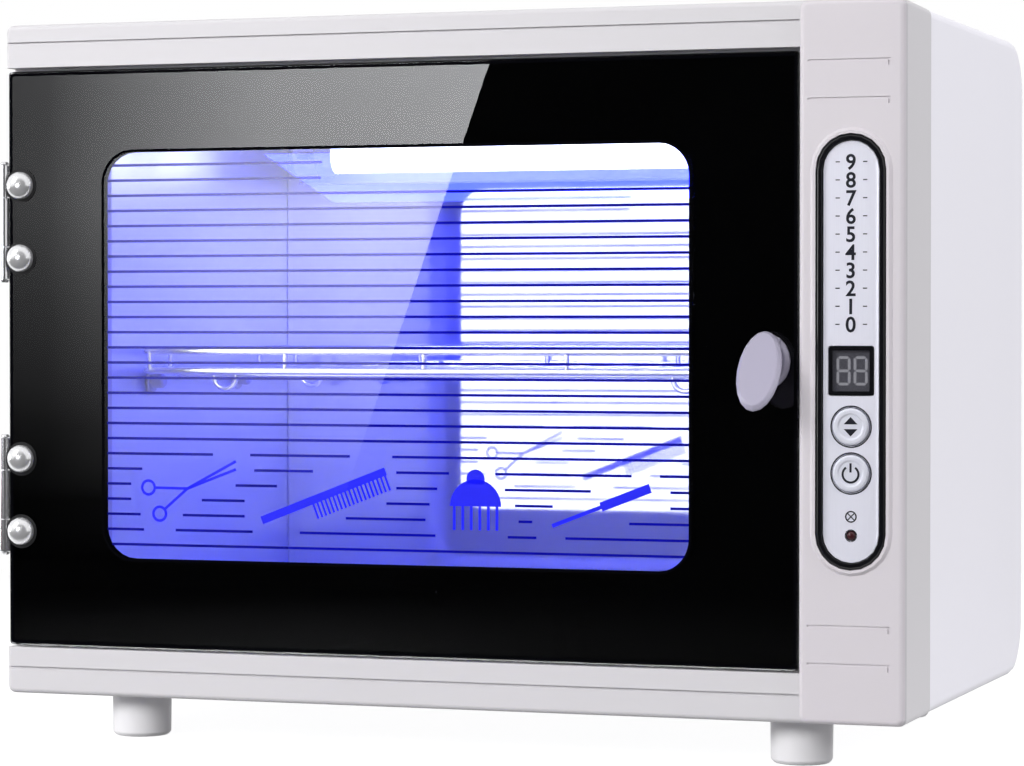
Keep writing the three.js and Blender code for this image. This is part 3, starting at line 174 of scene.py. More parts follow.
def mouldedGrain():
    # fine grain of a moulded or coated face, with a slow unevenness of tone
    tree, given, result = newTree("mouldedGrain", "ShaderNodeTree", [
        ("Colour", "Color", (0.8, 0.8, 0.8, 1)),
        ("Grain Scale", "Float", 1400),
        ("Unevenness", "Float", 0.03),
        ("Roughness", "Float", 0.35),
        ("Roughness Spread", "Float", 0.08),
    ], [("Colour", "Color"), ("Roughness", "Float"), ("Height", "Float")])
    spot = add(tree, "ShaderNodeTexCoord").outputs["Object"]
    grain = add(tree, "ShaderNodeTexNoise", {"Vector": spot, "Scale": given["Grain Scale"], "Detail": 2})
    cloud = add(tree, "ShaderNodeTexNoise", {"Vector": spot, "Scale": 9, "Detail": 3})
    tintBy(tree, given, result, cloud.outputs["Fac"], "Unevenness", "Roughness Spread")
    tree.links.new(grain.outputs["Fac"], result["Height"])
    return tree


def brushedStreaks():
    # streaks along one axis: the stretch makes the noise long where its number is small
    tree, given, result = newTree("brushedStreaks", "ShaderNodeTree", [
        ("Colour", "Color", (0.7, 0.7, 0.7, 1)),
        ("Stretch", "Vector", (4000, 4000, 60)),
        ("Contrast", "Float", 0.12),
        ("Roughness", "Float", 0.3),
    ], [("Colour", "Color"), ("Roughness", "Float"), ("Height", "Float")])
    spot = add(tree, "ShaderNodeTexCoord").outputs["Object"]
    drawn = add(tree, "ShaderNodeVectorMath", {0: spot, 1: given["Stretch"]}, operation="MULTIPLY")
    streak = add(tree, "ShaderNodeTexNoise", {"Vector": drawn.outputs[0], "Scale": 1, "Detail": 4})
    tintBy(tree, given, result, streak.outputs["Fac"], "Contrast", "Contrast")
    tree.links.new(streak.outputs["Fac"], result["Height"])
    return tree


filmEdge = (0.45, 0.75)


def handledFilm():
    # the faint uneven film that wiping leaves on glass and polished metal
    tree, given, result = newTree("handledFilm", "ShaderNodeTree", [
        ("Roughness", "Float", 0.02),
        ("Film", "Float", 0.03),
        ("Scale", "Float", 14),
    ], [("Roughness", "Float")])
    spot = add(tree, "ShaderNodeTexCoord").outputs["Object"]
    cloud = add(tree, "ShaderNodeTexNoise", {"Vector": spot, "Scale": given["Scale"], "Detail": 5,
                                             "Distortion": 0.6})
    mask = carried(tree, cloud.outputs["Fac"], filmEdge)
    tree.links.new(reckon(tree, "MULTIPLY_ADD", mask, given["Film"], given["Roughness"]), result["Roughness"])
    return tree


shared = {"grain": mouldedGrain(), "streaks": brushedStreaks(), "film": handledFilm()}


def principled(name, values):
    material = bpy.data.materials.new(name)
    material.use_nodes = True
    shader = material.node_tree.nodes["Principled BSDF"]
    feed(material.node_tree, shader.inputs, values)
    return material, material.node_tree, shader


def useGroup(tree, group, values):
    return add(tree, "ShaderNodeGroup", values, node_tree=shared[group]).outputs


def grained(name, group, values, relief, more):
    # a finish whose tone, roughness and relief come from one shared group
    material, tree, shader = principled(name, more)
    skin = useGroup(tree, group, values)
    bump = add(tree, "ShaderNodeBump", {"Height": skin["Height"], **relief})
    feed(tree, shader.inputs, {"Base Color": skin["Colour"], "Roughness": skin["Roughness"],
                               "Normal": bump.outputs[0]})
    return material


def moulded(name, colour, roughness, grain=1400, depth=0.00002, **more):
    return grained(name, "grain", {"Colour": (*colour, 1), "Grain Scale": grain, "Roughness": roughness},
                   {"Strength": 0.25, "Distance": depth}, more)


def brushed(name, colour, roughness, stretch, contrast, **more):
    return grained(name, "streaks", {"Colour": (*colour, 1), "Stretch": stretch, "Contrast": contrast,
                                     "Roughness": roughness}, {"Strength": 0.15, "Distance": 0.00002}, more)


def polished(name, colour, roughness, film, scale=14, **more):
    material, tree, shader = principled(name, {"Base Color": (*colour, 1), **more})
    skin = useGroup(tree, "film", {"Roughness": roughness, "Film": film, "Scale": scale})
    tree.links.new(skin["Roughness"], shader.inputs["Roughness"])
    return material


def circuitBoard():
    # green lacquer over a grid of tracks
    material, tree, shader = principled("circuitBoard", {"Roughness": 0.4})
    spot = add(tree, "ShaderNodeTexCoord").outputs["Object"]
    tracks = add(tree, "ShaderNodeTexBrick", {
        "Vector": spot, "Scale": 160, "Mortar Size": 0.03, "Color1": (0.006, 0.075, 0.028, 1),
        "Color2": (0.008, 0.09, 0.034, 1), "Mortar": (0.02, 0.16, 0.06, 1)})
    tree.links.new(tracks.outputs["Color"], shader.inputs["Base Color"])
    return material


tubeGlow = {"strength": 4, "middle": (0.86, 0.9, 1, 1), "ends": (0.3, 0.36, 1, 1), "endShare": 0.8}


def lampGlow():
    # the lit tube: white to the eye, a little bluer towards its ends
    material, tree, shader = principled("lampGlow", {"Base Color": (0.7, 0.8, 1, 1), "Roughness": 0.1,
                                                     "Emission Strength": tubeGlow["strength"]})
    along = add(tree, "ShaderNodeSeparateXYZ", {0: add(tree, "ShaderNodeTexCoord").outputs["Object"]})
    low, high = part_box("lamp_tube")
    half = (high.x - low.x) / 2
    far = reckon(tree, "ABSOLUTE", reckon(tree, "SUBTRACT", along.outputs["X"], (low.x + high.x) / 2))
    # inputs 6 and 7 are the mix's two colours
    tone = add(tree, "ShaderNodeMix", {"Factor": carried(tree, far, (half * tubeGlow["endShare"], half)),
                                       6: tubeGlow["middle"], 7: tubeGlow["ends"]}, data_type="RGBA")
    tree.links.new(tone.outputs[2], shader.inputs["Emission Color"])
    return material


finishes = {
    # the solids' finishes
    "white_plastic": moulded("whitePlastic", (0.63, 0.615, 0.64), 0.36, **{"Specular IOR Level": 0.3}),
    "foot_plastic": moulded("footPlastic", (0.8, 0.79, 0.815), 0.4),
    "fascia_plastic": moulded("fasciaPlastic", (0.635, 0.6, 0.637), 0.34),
    "shell_plastic": moulded("shellPlastic", (0.93, 0.92, 0.99), 0.4, grain=1100),
    "handle_plastic": moulded("handlePlastic", (0.37, 0.35, 0.45), 0.3),
    "white_enamel": moulded("whiteEnamel", (0.68, 0.69, 0.73), 0.42, grain=700, depth=0.00004),
    "dark_plastic": moulded("darkPlastic", (0.022, 0.022, 0.026), 0.5),
    "black_plastic": moulded("blackPlastic", (0.0035, 0.0035, 0.005), 0.22, grain=900),
    "circuit_board": circuitBoard(),
    "smoked_lens": polished("smokedLens", (0.04, 0.04, 0.05), 0.06, 0.03, Alpha=0.42),
    "light_lens": polished("lightLens", (0.05, 0.012, 0.016), 0.12, 0.05),
    "panel_silver": brushed("panelSilver", (0.8, 0.8, 0.9), 0.34, (3500, 3500, 50), 0.1, Metallic=0.25),
    "button_silver": brushed("buttonSilver", (0.72, 0.73, 0.82), 0.3, (3000, 300, 3000), 0.06, Metallic=0.2),
    "zinc": brushed("zinc", (0.55, 0.56, 0.58), 0.3, (900, 900, 900), 0.16, Metallic=1),
    "mirror_steel": polished("mirrorSteel", (0.82, 0.84, 0.9), 0.03, 0.02, Metallic=0.6),
    "satin_steel": polished("satinSteel", (0.8, 0.82, 0.9), 0.3, 0.08, Metallic=0.55),
    "chrome": polished("chrome", (0.9, 0.9, 0.92), 0.13, 0.05, Metallic=0.88),
    "cap_aluminium": brushed("capAluminium", (0.6, 0.61, 0.64), 0.32, (60, 3000, 3000), 0.12, Metallic=0.8),
    "lamp_glass": lampGlow(),
    "door_glass": polished("clearGlass", (0.97, 0.985, 1), 0.0, 0.003, scale=9,
                           **{"Transmission Weight": 1, "IOR": 1.46}),
    "black_print": moulded("firedPrint", (0.0007, 0.0007, 0.0009), 0.5, grain=500,
                           **{"Specular IOR Level": 0.0}),
    # those of the scene's own pieces
    "rack_wire": polished("rackWire", (0.93, 0.94, 0.96), 0.16, 0.05, Metallic=0.7),
    "soft_chrome": polished("softChrome", (0.86, 0.86, 0.88), 0.2, 0.05, Metallic=0.7),
    "rubber": moulded("rubber", (0.006, 0.006, 0.007), 0.6, grain=600),
    "row_ink": moulded("rowInk", (0.004, 0.004, 0.33), 0.6, **{"Specular IOR Level": 0.1}),
    # the signs' ink has a painted glow: its emission stands in for the lamp's light shining through the print
    # from behind
    "sign_ink_painted_glow": moulded("signInkPaintedGlow", (0.02, 0.02, 0.7), 0.6, **{
        "Specular IOR Level": 0.1, "Emission Color": (0.02, 0.025, 0.8, 1), "Emission Strength": 0.45}),
    "edge_ink": moulded("edgeInk", (0.002, 0.002, 0.003), 0.7, **{"Specular IOR Level": 0.0}),
    "panel_ink": moulded("panelInk", (0.006, 0.007, 0.014), 0.5, grain=900),
    # the display strokes glow: painted light that makes the unlit segments pale behind the smoked lens
    "digit": moulded("digit", (0.3, 0.3, 0.33), 0.5, **{
        "Emission Color": (0.62, 0.62, 0.68, 1), "Emission Strength": 0.9}),
    "digit_field": moulded("digitField", (0.34, 0.34, 0.4), 0.6),
}

corners = ("front_left", "front_right", "rear_left", "rear_right")
slotNodes = {
    "white_plastic": ["front_frame", "lamp_left_socket", "lamp_right_socket"]
    + [corner + "_rack_support" for corner in corners],
    "foot_plastic": [corner + "_foot" for corner in corners],
    "fascia_plastic": ["column_fascia"],
    "shell_plastic": ["case_shell"],
    "handle_plastic": ["handle"],
    "white_enamel": ["rear_cover", "ballast", "lamp_bracket"],
    "dark_plastic": ["display_module", "select_switch", "power_switch", "catch_magnet"],
    "black_plastic": ["panel_surround", "cable_bush"],
    "circuit_board": ["control_board"],
    "smoked_lens": ["display_lens"],
    "light_lens": ["power_light"],
    "panel_silver": ["panel_plate"],
    "button_silver": ["select_button", "power_button"],
    "zinc": ["handle_screw", "strike_plate"],
    "mirror_steel": ["liner_wrap"],
    "satin_steel": ["liner_left_wall", "liner_right_wall"],
    "chrome": [hinge + piece for hinge in ("upper_hinge_", "lower_hinge_")
               for piece in ("fixed_leaf", "moving_leaf", "pin")],
    "cap_aluminium": ["lamp_left_cap", "lamp_right_cap"],
    "lamp_glass": ["lamp_tube"],
    "door_glass": ["door_glass"],
    "black_print": ["door_print"],
}


# Edges: the solids' loose triangles are joined, and in the finishes that edgeRounds lists every sharp edge
# gets a small round

def endTree(tree, given, result, geometry):
    # every tree ends as plain geometry in its finish
    whole = add(tree, "GeometryNodeRealizeInstances", {"Geometry": geometry})
    dressed = add(tree, "GeometryNodeSetMaterial", {"Geometry": whole.outputs[0], "Material": given["Finish"]})
    tree.links.new(dressed.outputs[0], result["Geometry"])
    return tree


def joinedSkin():
    tree, given, result = growingTree("joinedSkin", [("Reach", "Float", 0.00001)])
    merged = add(tree, "GeometryNodeMergeByDistance", {"Geometry": given["Geometry"],
                                                       "Distance": given["Reach"]})
    plain = add(tree, "GeometryNodeSetMeshNormal", {"Mesh": merged.outputs[0], "Remove Custom": True},
                mode="SHARPNESS")
    shaded = add(tree, "GeometryNodeSetShadeSmooth", {"Geometry": plain.outputs[0], "Shade Smooth": True})
    return endTree(tree, given, result, shaded.outputs[0])


edging = {"reach": 0.00001, "flatWithin": 0.6, "sharpOver": 38, "segments": 2}
edgeRounds = {
    "white_plastic": 0.0005, "foot_plastic": 0.0005, "fascia_plastic": 0.0006, "shell_plastic": 0.0007,
    "white_enamel": 0.0003, "door_glass": 0.00025, "panel_silver": 0.00015, "button_silver": 0.0002,
    "black_plastic": 0.0003, "chrome": 0.00025, "cap_aluminium": 0.0003, "zinc": 0.0002,
    "dark_plastic": 0.0002, "light_lens": 0.0001, "smoked_lens": 0.0001,
}


def dress(node, slotName, skinTree):
    node.material_slots[0].material = finishes[slotName]
    skin = node.modifiers.new("joinedSkin", "NODES")
    setInputs(skin, skinTree, {"Reach": edging["reach"], "Finish": finishes[slotName]})
    if slotName in edgeRounds:
        flat = node.modifiers.new("flatFaces", "DECIMATE")
        flat.decimate_type = "DISSOLVE"
        flat.angle_limit = math.radians(edging["flatWithin"])
        bevel = node.modifiers.new("edgeRound", "BEVEL")
        bevel.width = edgeRounds[slotName]
        bevel.segments = edging["segments"]
        bevel.limit_method = "ANGLE"
        bevel.angle_limit = math.radians(edging["sharpOver"])
    node.modifiers.new("evenShade", "WEIGHTED_NORMAL").keep_sharp = True


skinTree = joinedSkin()
for slotName, members in slotNodes.items():
    for member in members:
        dress(nodes[member], slotName, skinTree)
print("finishes on", sum(len(members) for members in slotNodes.values()), "nodes")


# Geometry Nodes for what repeats

def laidBars():
    # a box on every point, as large as the point's "size" and turned by its "turn"
    tree, given, result = growingTree("laidBars")
    cube = add(tree, "GeometryNodeMeshCube", {"Size": (1, 1, 1)})
    size = add(tree, "GeometryNodeInputNamedAttribute", {"Name": "size"}, data_type="FLOAT_VECTOR")
    turn = add(tree, "GeometryNodeInputNamedAttribute", {"Name": "turn"}, data_type="FLOAT_VECTOR")
    rotation = add(tree, "FunctionNodeEulerToRotation", {"Euler": turn.outputs[0]})
    bars = add(tree, "GeometryNodeInstanceOnPoints", {
        "Points": given["Geometry"], "Instance": cube.outputs["Mesh"],
        "Rotation": rotation.outputs[0], "Scale": size.outputs[0]})
    return endTree(tree, given, result, bars.outputs[0])


def drawnWire():
    # a round wire along every run of edges, as thick as the points' "gauge"
    tree, given, result = growingTree("drawnWire", [("Sides", "Int", 12)])
    gauge = add(tree, "GeometryNodeInputNamedAttribute", {"Name": "gauge"}, data_type="FLOAT")
    run = add(tree, "GeometryNodeMeshToCurve", {"Mesh": given["Geometry"]})
    profile = add(tree, "GeometryNodeCurvePrimitiveCircle", {"Resolution": given["Sides"], "Radius": 1})
    swept = add(tree, "GeometryNodeCurveToMesh", {
        "Curve": run.outputs[0], "Profile Curve": profile.outputs[0], "Scale": gauge.outputs[0],
        "Fill Caps": True})
    shaded = add(tree, "GeometryNodeSetShadeSmooth", {"Geometry": swept.outputs[0], "Shade Smooth": True})
    return endTree(tree, given, result, shaded.outputs[0])


def setFasteners():
    # one fastener on every point
    tree, given, result = growingTree("setFasteners", [("Fastener", "Object", None)])
    pattern = add(tree, "GeometryNodeObjectInfo", {"Object": given["Fastener"]})
    each = add(tree, "GeometryNodeInstanceOnPoints", {
        "Points": given["Geometry"], "Instance": pattern.outputs["Geometry"]})
    return endTree(tree, given, result, each.outputs[0])


trees = {"bars": laidBars(), "wire": drawnWire(), "fasteners": setFasteners()}


def seedOf(name, points, edges=()):
    mesh = bpy.data.meshes.new(name)
    mesh.from_pydata(points, edges, [])
    return objectFrom(name + "_seed", mesh)


def barField(name, bars, finish):
    # bars are (middle, size, turn about Y)
    seed = seedOf(name, [middle for middle, size, turn in bars])
    sizes = seed.data.attributes.new("size", "FLOAT_VECTOR", "POINT")
    turns = seed.data.attributes.new("turn", "FLOAT_VECTOR", "POINT")
    for i, (middle, size, turn) in enumerate(bars):
        sizes.data[i].vector = size
        turns.data[i].vector = (0, turn, 0)
    return grown(name, seed, trees["bars"], finish)


def wireWork(name, runs, finish, sides=12):
    # runs are (points, gauge, closed)
    points, edges, gauges = [], [], []
    for line, gauge, closed in runs:
        first = len(points)
        points += line
        gauges += [gauge] * len(line)
        edges += [(first + i, first + i + 1) for i in range(len(line) - 1)]
        if closed:
            edges.append((first + len(line) - 1, first))
    seed = seedOf(name, points, edges)
    seed.data.attributes.new("gauge", "FLOAT", "POINT").data.foreach_set("value", gauges)
    return smooth(grown(name, seed, trees["wire"], finish, Sides=sides), 50)


def fastenerSet(name, places, fastener, finish):
    piece = grown(name, seedOf(name, places), trees["fasteners"], finish, Fastener=fastener)
    bpy.data.objects.remove(fastener)
    return smooth(piece)


def arc(centre, radius, start, end, steps):
    # points in a plane, angles in degrees
    return [(centre[0] + radius * math.cos(math.radians(start + (end - start) * i / steps)),
             centre[1] + radius * math.sin(math.radians(start + (end - start) * i / steps)))
            for i in range(steps + 1)]


def circle(centre, radius, steps):
    return arc(centre, radius, 0, 360 - 360 / steps, steps - 1)


def roundedLoop(x0, x1, y0, y1, radius, steps=8):
    return (arc((x1 - radius, y0 + radius), radius, -90, 0, steps)
            + arc((x1 - radius, y1 - radius), radius, 0, 90, steps)
            + arc((x0 + radius, y1 - radius), radius, 90, 180, steps)
            + arc((x0 + radius, y0 + radius), radius, 180, 270, steps))


def turnedTo(ahead):
    return Vector((0, 0, 1)).rotation_difference(Vector(ahead)).to_matrix().to_4x4()


def revolved(name, profile, steps, ahead=(0, -1, 0)):
    # a closed solid turned round its own axis; the profile is (radius, distance ahead), both ends on the axis
    shape = bmesh.new()
    rings = []
    for radius, out in profile:
        if radius == 0:
            rings.append([shape.verts.new((0, 0, out))])
        else:
            rings.append([shape.verts.new((radius * math.cos(2 * math.pi * i / steps),
                                           radius * math.sin(2 * math.pi * i / steps), out))
                          for i in range(steps)])
    for a, b in zip(rings, rings[1:]):
        for i in range(steps):
            corners = [a[i % len(a)], a[(i + 1) % len(a)], b[(i + 1) % len(b)], b[i % len(b)]]
            shape.faces.new(list(dict.fromkeys(corners)))
    bmesh.ops.transform(shape, matrix=turnedTo(ahead), verts=shape.verts)
    return objectFrom(name, meshFrom(name, shape))


def slab(name, outline, thickness, finish):
    # a thin plate in the plane of X and Z, its front at Y = 0
    shape = bmesh.new()
    face = shape.faces.new([shape.verts.new((x, 0, z)) for x, z in outline])
    body = bmesh.ops.extrude_face_region(shape, geom=[face])
    bmesh.ops.translate(shape, vec=(0, thickness, 0),
                        verts=[v for v in body["geom"] if isinstance(v, bmesh.types.BMVert)])
    return objectFrom(name, meshFrom(name, shape), finish)


def bandLoop(name, outer, inner, thickness, finish, closed=True):
    # a flat band between two outlines of as many points, its front at Y = 0
    shape = bmesh.new()
    rings = [[shape.verts.new((x, y, z)) for x, z in line]
             for line, y in ((outer, 0), (inner, 0), (inner, thickness), (outer, thickness))]
    for a, b in zip(rings, rings[1:] + rings[:1]):
        for i in range(0 if closed else 1, len(a)):
            shape.faces.new((a[i - 1], a[i], b[i], b[i - 1]))
    if not closed:
        for end in (0, -1):
            shape.faces.new([ring[end] for ring in rings])
    return objectFrom(name, meshFrom(name, shape), finish)


def frameBand(name, sides, width, radii, steps, thickness, finish):
    # a frame inside a rectangle: the sides are left, right, bottom and top, the radii outer and inner
    x0, x1, z0, z1 = sides
    return bandLoop(name, roundedLoop(*sides, radii[0], steps),
                    roundedLoop(x0 + width, x1 - width, z0 + width, z1 - width, radii[1], steps), thickness,
                    finish)


def joined(name, parts):
    shape = bmesh.new()
    for part in parts:
        shape.from_mesh(part.data)
    piece = objectFrom(name, meshFrom(name, shape, False), parts[0].data.materials[0])
    for part in parts:
        bpy.data.objects.remove(part)
    return piece


def laidOn(piece, nodeName, lift):
    # drops a flat piece, drawn round Y = 0, onto the front of a node
    carrier = nodes[nodeName]
    for vertex in piece.data.vertices:
        hit, spot, normal, index = carrier.ray_cast(Vector((vertex.co.x, -1, vertex.co.z)), Vector((0, 1, 0)))
        vertex.co.y += spot.y - lift
    return piece


# The wire rack: two loops, links, bars from front to rear, and loops under two cross bars

rackWork = {"wire": 0.0015, "thinWire": 0.0011, "rim": 0.008, "corner": 0.008, "pitch": 0.020, "linkEvery": 3,
            "crossInset": 0.030, "loopShare": 0.79, "loopWidth": 0.010, "loopDrop": 0.006, "loopSteps": 16,
            "bite": 0.0003}


def makeRack():
    low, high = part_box("rack")
    wire, thin = rackWork["wire"], rackWork["thinWire"]
    base = high.z - wire - rackWork["rim"]
    x0, x1, y0, y1 = low.x + wire, high.x - wire, low.y + wire, high.y - wire
    middle = (x0 + x1) / 2
    loop = roundedLoop(x0, x1, y0, y1, rackWork["corner"])
    runs = [([(x, y, z) for x, y in loop], wire, True) for z in (base, base + rackWork["rim"])]
    halfBars = int((x1 - middle - rackWork["corner"] / 2) / rackWork["pitch"])
    for bar in range(-halfBars, halfBars + 1):
        x = middle + bar * rackWork["pitch"]
        runs.append(([(x, y0, base), (x, y1, base)], thin, False))
        if bar % rackWork["linkEvery"] == 0:
            runs += [([(x, y, base), (x, y, base + rackWork["rim"])], thin, False) for y in (y0, y1)]
    crossY = (y0 + rackWork["crossInset"], y1 - rackWork["crossInset"])
    runs += [([(x, y, base), (x, y, base + rackWork["rim"])], thin, False) for x in (x0, x1) for y in crossY]
    crossZ = base - 2 * thin + rackWork["bite"]
    reach = halfBars * rackWork["pitch"] + thin
    half, drop = rackWork["loopWidth"] / 2, rackWork["loopDrop"]
    for y in crossY:
        runs.append(([(middle - reach, y, crossZ), (middle + reach, y, crossZ)], thin, False))
        for side in (-1, 1):
            x = middle + side * rackWork["loopShare"] * (x1 - x0 + 2 * wire) / 2
            bend = arc((x, crossZ - drop + half), half, 180, 360, rackWork["loopSteps"])
            runs.append(([(x - half, y, crossZ)] + [(a, y, b) for a, b in bend] + [(x + half, y, crossZ)],
                         thin, False))
    return wireWork("wire_rack", runs, finishes["rack_wire"])


rack = makeRack()
print("rack made:", len(rack.data.polygons), "faces")


# The handle: the moulded pull with its edges softened all over

pull = {"grain": 0.0003, "reach": 0.00001, "ease": 0.5, "softening": 5}


def makeHandle():
    shape = bmesh.new()
    shape.from_mesh(nodes["handle"].data)
    bmesh.ops.remove_doubles(shape, verts=shape.verts, dist=pull["reach"])
    copy = objectFrom("handle_pull_raw", meshFrom("handle_pull_raw", shape, False))
    net = copy.modifiers.new("net", "REMESH")
    net.mode = "VOXEL"
    net.voxel_size = pull["grain"]
    ease = copy.modifiers.new("ease", "SMOOTH")
    ease.factor = pull["ease"]
    ease.iterations = pull["softening"]
    piece = baked(copy, "handle_pull", finishes["handle_plastic"])
    for name in ("custom_normal", "sharp_edge", "sharp_face"):
        if name in piece.data.attributes:
            piece.data.attributes.remove(piece.data.attributes[name])
    piece.data.shade_smooth()
    return piece


handle = makeHandle()
print("handle made:", len(handle.data.polygons), "faces")


# Fasteners: dome screws on rubber washers through the glass, recessed screws behind and under the case

hingeScrews = [hinge + end for hinge in ("upper_hinge_", "lower_hinge_")
               for end in ("top_screw", "bottom_screw")]
rearScrews = ["rear_screw_%d" % (i + 1) for i in range(4)]
footScrews = [corner + "_foot_screw" for corner in corners]
domePlaces = [(middleOf(name).x, glassFront, middleOf(name).z) for name in hingeScrews]

dome = {"radius": 0.0056, "height": 0.0044, "rim": 0.0008, "shank": 0.0020, "steps": 10, "sides": 40}
washer = {"radius": 0.0068, "play": 0.0001, "thickness": 0.0003, "inset": 0.00002, "sides": 32}
rearHead = {"radius": 0.0036, "height": 0.0021, "recess": 0.0011}
footHead = {"radius": 0.0040, "height": 0.0026, "recess": 0.0013}
crossHead = {"sideShare": 0.35, "slotLength": 1.15, "slotWidth": 0.26, "steps": 6, "sides": 28}


def domeRise(radius, start, rise, steps):
    # the profile of a low dome from its rim to its tip
    turns = [math.pi / 2 * (i + 1) / steps for i in range(steps - 1)]
    return [(radius * math.cos(turn), start + rise * math.sin(turn)) for turn in turns] + [(0, start + rise)]


def makeDomes():
    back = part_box(hingeScrews[0])[1].y - glassFront
    foot = washer["thickness"]
    rim = foot + dome["rim"]
    profile = [(0, -back), (dome["shank"], -back), (dome["shank"], foot), (dome["radius"], foot),
               (dome["radius"], rim)]
    profile += domeRise(dome["radius"], rim, dome["height"] - dome["rim"], dome["steps"])
    return fastenerSet("hinge_screw_domes", domePlaces, revolved("dome", profile, dome["sides"]),
                       finishes["soft_chrome"])


# rubber washers under the domes: a real part whose black ring also stands in for the dark rim the domes
# mirror, a painted reflection
def makeWashers():
    thick, inset = washer["thickness"], washer["inset"]
    parts = []
    for x, y, z in domePlaces:
        ring = bandLoop("washer", circle((x, z), washer["radius"], washer["sides"]),
                        circle((x, z), dome["shank"] + washer["play"], washer["sides"]), thick - 2 * inset,
                        finishes["rubber"])
        parts.append(setBack(ring, y - thick + inset))
    return smooth(joined("hinge_screw_washers", parts))


def panScrew(name, head, ahead):
    # a domed head with a cross recess cut in it
    radius, height = head["radius"], head["height"]
    side = height * crossHead["sideShare"]
    body = revolved(name, [(0, 0), (radius, 0), (radius, side)]
                    + domeRise(radius, side, height - side, crossHead["steps"]), crossHead["sides"], (0, 0, 1))
    cutter = bmesh.new()
    for turn in (0, math.pi / 2):
        box = bmesh.ops.create_cube(cutter, size=1)["verts"]
        bmesh.ops.scale(cutter, verts=box, vec=(radius * crossHead["slotLength"],
                                                radius * crossHead["slotWidth"], height))
        bmesh.ops.translate(cutter, verts=box, vec=(0, 0, height * 1.5 - head["recess"]))
        bmesh.ops.rotate(cutter, verts=box, cent=(0, 0, 0), matrix=Matrix.Rotation(turn, 3, "Z"))
    tool = objectFrom(name + "_recess", meshFrom(name + "_recess", cutter))
    cut = body.modifiers.new("recess", "BOOLEAN")
    cut.operation = "DIFFERENCE"
    cut.solver = "EXACT"
    cut.use_self = True
    cut.object = tool
    made = baked(body, name + "_cut")
    bpy.data.objects.remove(tool)
    made.data.transform(turnedTo(ahead))
    return made


domes = makeDomes()
washers = makeWashers()
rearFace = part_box("rear_cover")[1].y
rearHeads = fastenerSet("rear_screw_heads", [(middleOf(n).x, rearFace, middleOf(n).z) for n in rearScrews],
                        panScrew("rearScrew", rearHead, (0, 1, 0)), finishes["zinc"])
footHeads = fastenerSet(
    "foot_screw_heads", [(*middleOf(n).xy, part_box(n)[0].z + footHead["height"]) for n in footScrews],
    panScrew("footScrew", footHead, (0, 0, -1)), finishes["zinc"])
print("fasteners made")


# The door's print: rows of fine lines and four signs behind the glass

rows = {
    "count": 26, "first": 0.0051, "pitch": 0.00605, "width": 0.00105, "ink": 0.00008, "behind": 0.00003,
    "border": {"side": 0.0426, "bottom": 0.0358, "top": 0.0332}, "corner": 0.0125,
    # where the rows break off over the lamp and round the signs, in shares of the row's length
    "broken": {
        0: [(0, 0.38)], 1: [(0, 0.38)],
        19: [(0, 0.19), (0.256, 0.43), (0.503, 1)],
        20: [(0, 0.063), (0.263, 0.366), (0.51, 0.6), (0.678, 0.904), (0.95, 1)],
        21: [(0, 0.043), (0.23, 0.303), (0.51, 0.58), (0.694, 0.837), (0.967, 1)],
        22: [(0, 0.043), (0.17, 0.246), (0.493, 0.567), (0.711, 0.774), (0.967, 1)],
        23: [(0, 0.06), (0.136, 0.246), (0.423, 0.56), (0.717, 0.74), (0.9, 1)],
        24: [(0, 0.066), (0.123, 0.26), (0.343, 0.577), (0.699, 0.747), (0.795, 1)],
    },
}
border = rows["border"]
window = {"left": glassBox[0].x + border["side"], "right": glassBox[1].x - border["side"],
          "bottom": glassBox[0].z + border["bottom"], "top": glassBox[1].z - border["top"]}
inkFront = glassBack + rows["behind"]


def makeRows():
    bars = []
    y = inkFront + rows["ink"] / 2
    for row in range(rows["count"]):
        z = window["top"] - rows["first"] - row * rows["pitch"]
        near = min(window["top"] - z, z - window["bottom"])
        into = max(rows["corner"] - near, 0)
        inset = rows["corner"] - math.sqrt(rows["corner"] ** 2 - into ** 2)
        left, right = window["left"] + inset, window["right"] - inset
        for start, end in rows["broken"].get(row, [(0, 1)]):
            a, b = left + start * (right - left), left + end * (right - left)
            bars.append((((a + b) / 2, y, z), (b - a, rows["ink"], rows["width"]), 0))
    return barField("door_rows", bars, finishes["row_ink"])


signs = {
    "stroke": 0.0011,
    "scissors": {"rings": ((-0.1215, 0.1012), (-0.1166, 0.0908)), "ring": 0.0033, "tip": (-0.0835, 0.1105),
                 "pivot": (-0.1045, 0.1010), "gape": 0.0016, "sides": 28},
    "comb": {"middle": (-0.0462, 0.0990), "length": 0.056, "turn": 21, "spine": 0.0032, "teeth": 19,
             "tooth": 0.0062, "toothShare": 0.5, "handle": 0.022, "bite": 0.0002},
    "clip": {"middle": (0.0172, 0.0960), "radius": 0.0105, "gripShare": 0.36, "gripArc": (-30, 210),
             "steps": 20, "gripSteps": 16, "teeth": 6, "tooth": 0.0095, "bite": 0.0003},
    "brush": {"middle": (0.0680, 0.0966), "length": 0.042, "turn": 21, "head": 0.021, "bristle": 0.0036,
              "handleShare": 1.4},
}


def turnedBar(centre, along, across, size, degrees, y):
    # a bar placed along and across a line that rises by an angle to the right
    a = math.radians(degrees)
    x = centre[0] + along * math.cos(a) - across * math.sin(a)
    z = centre[1] + along * math.sin(a) + across * math.cos(a)
    return ((x, y, z), (size[0], rows["ink"], size[1]), -a)


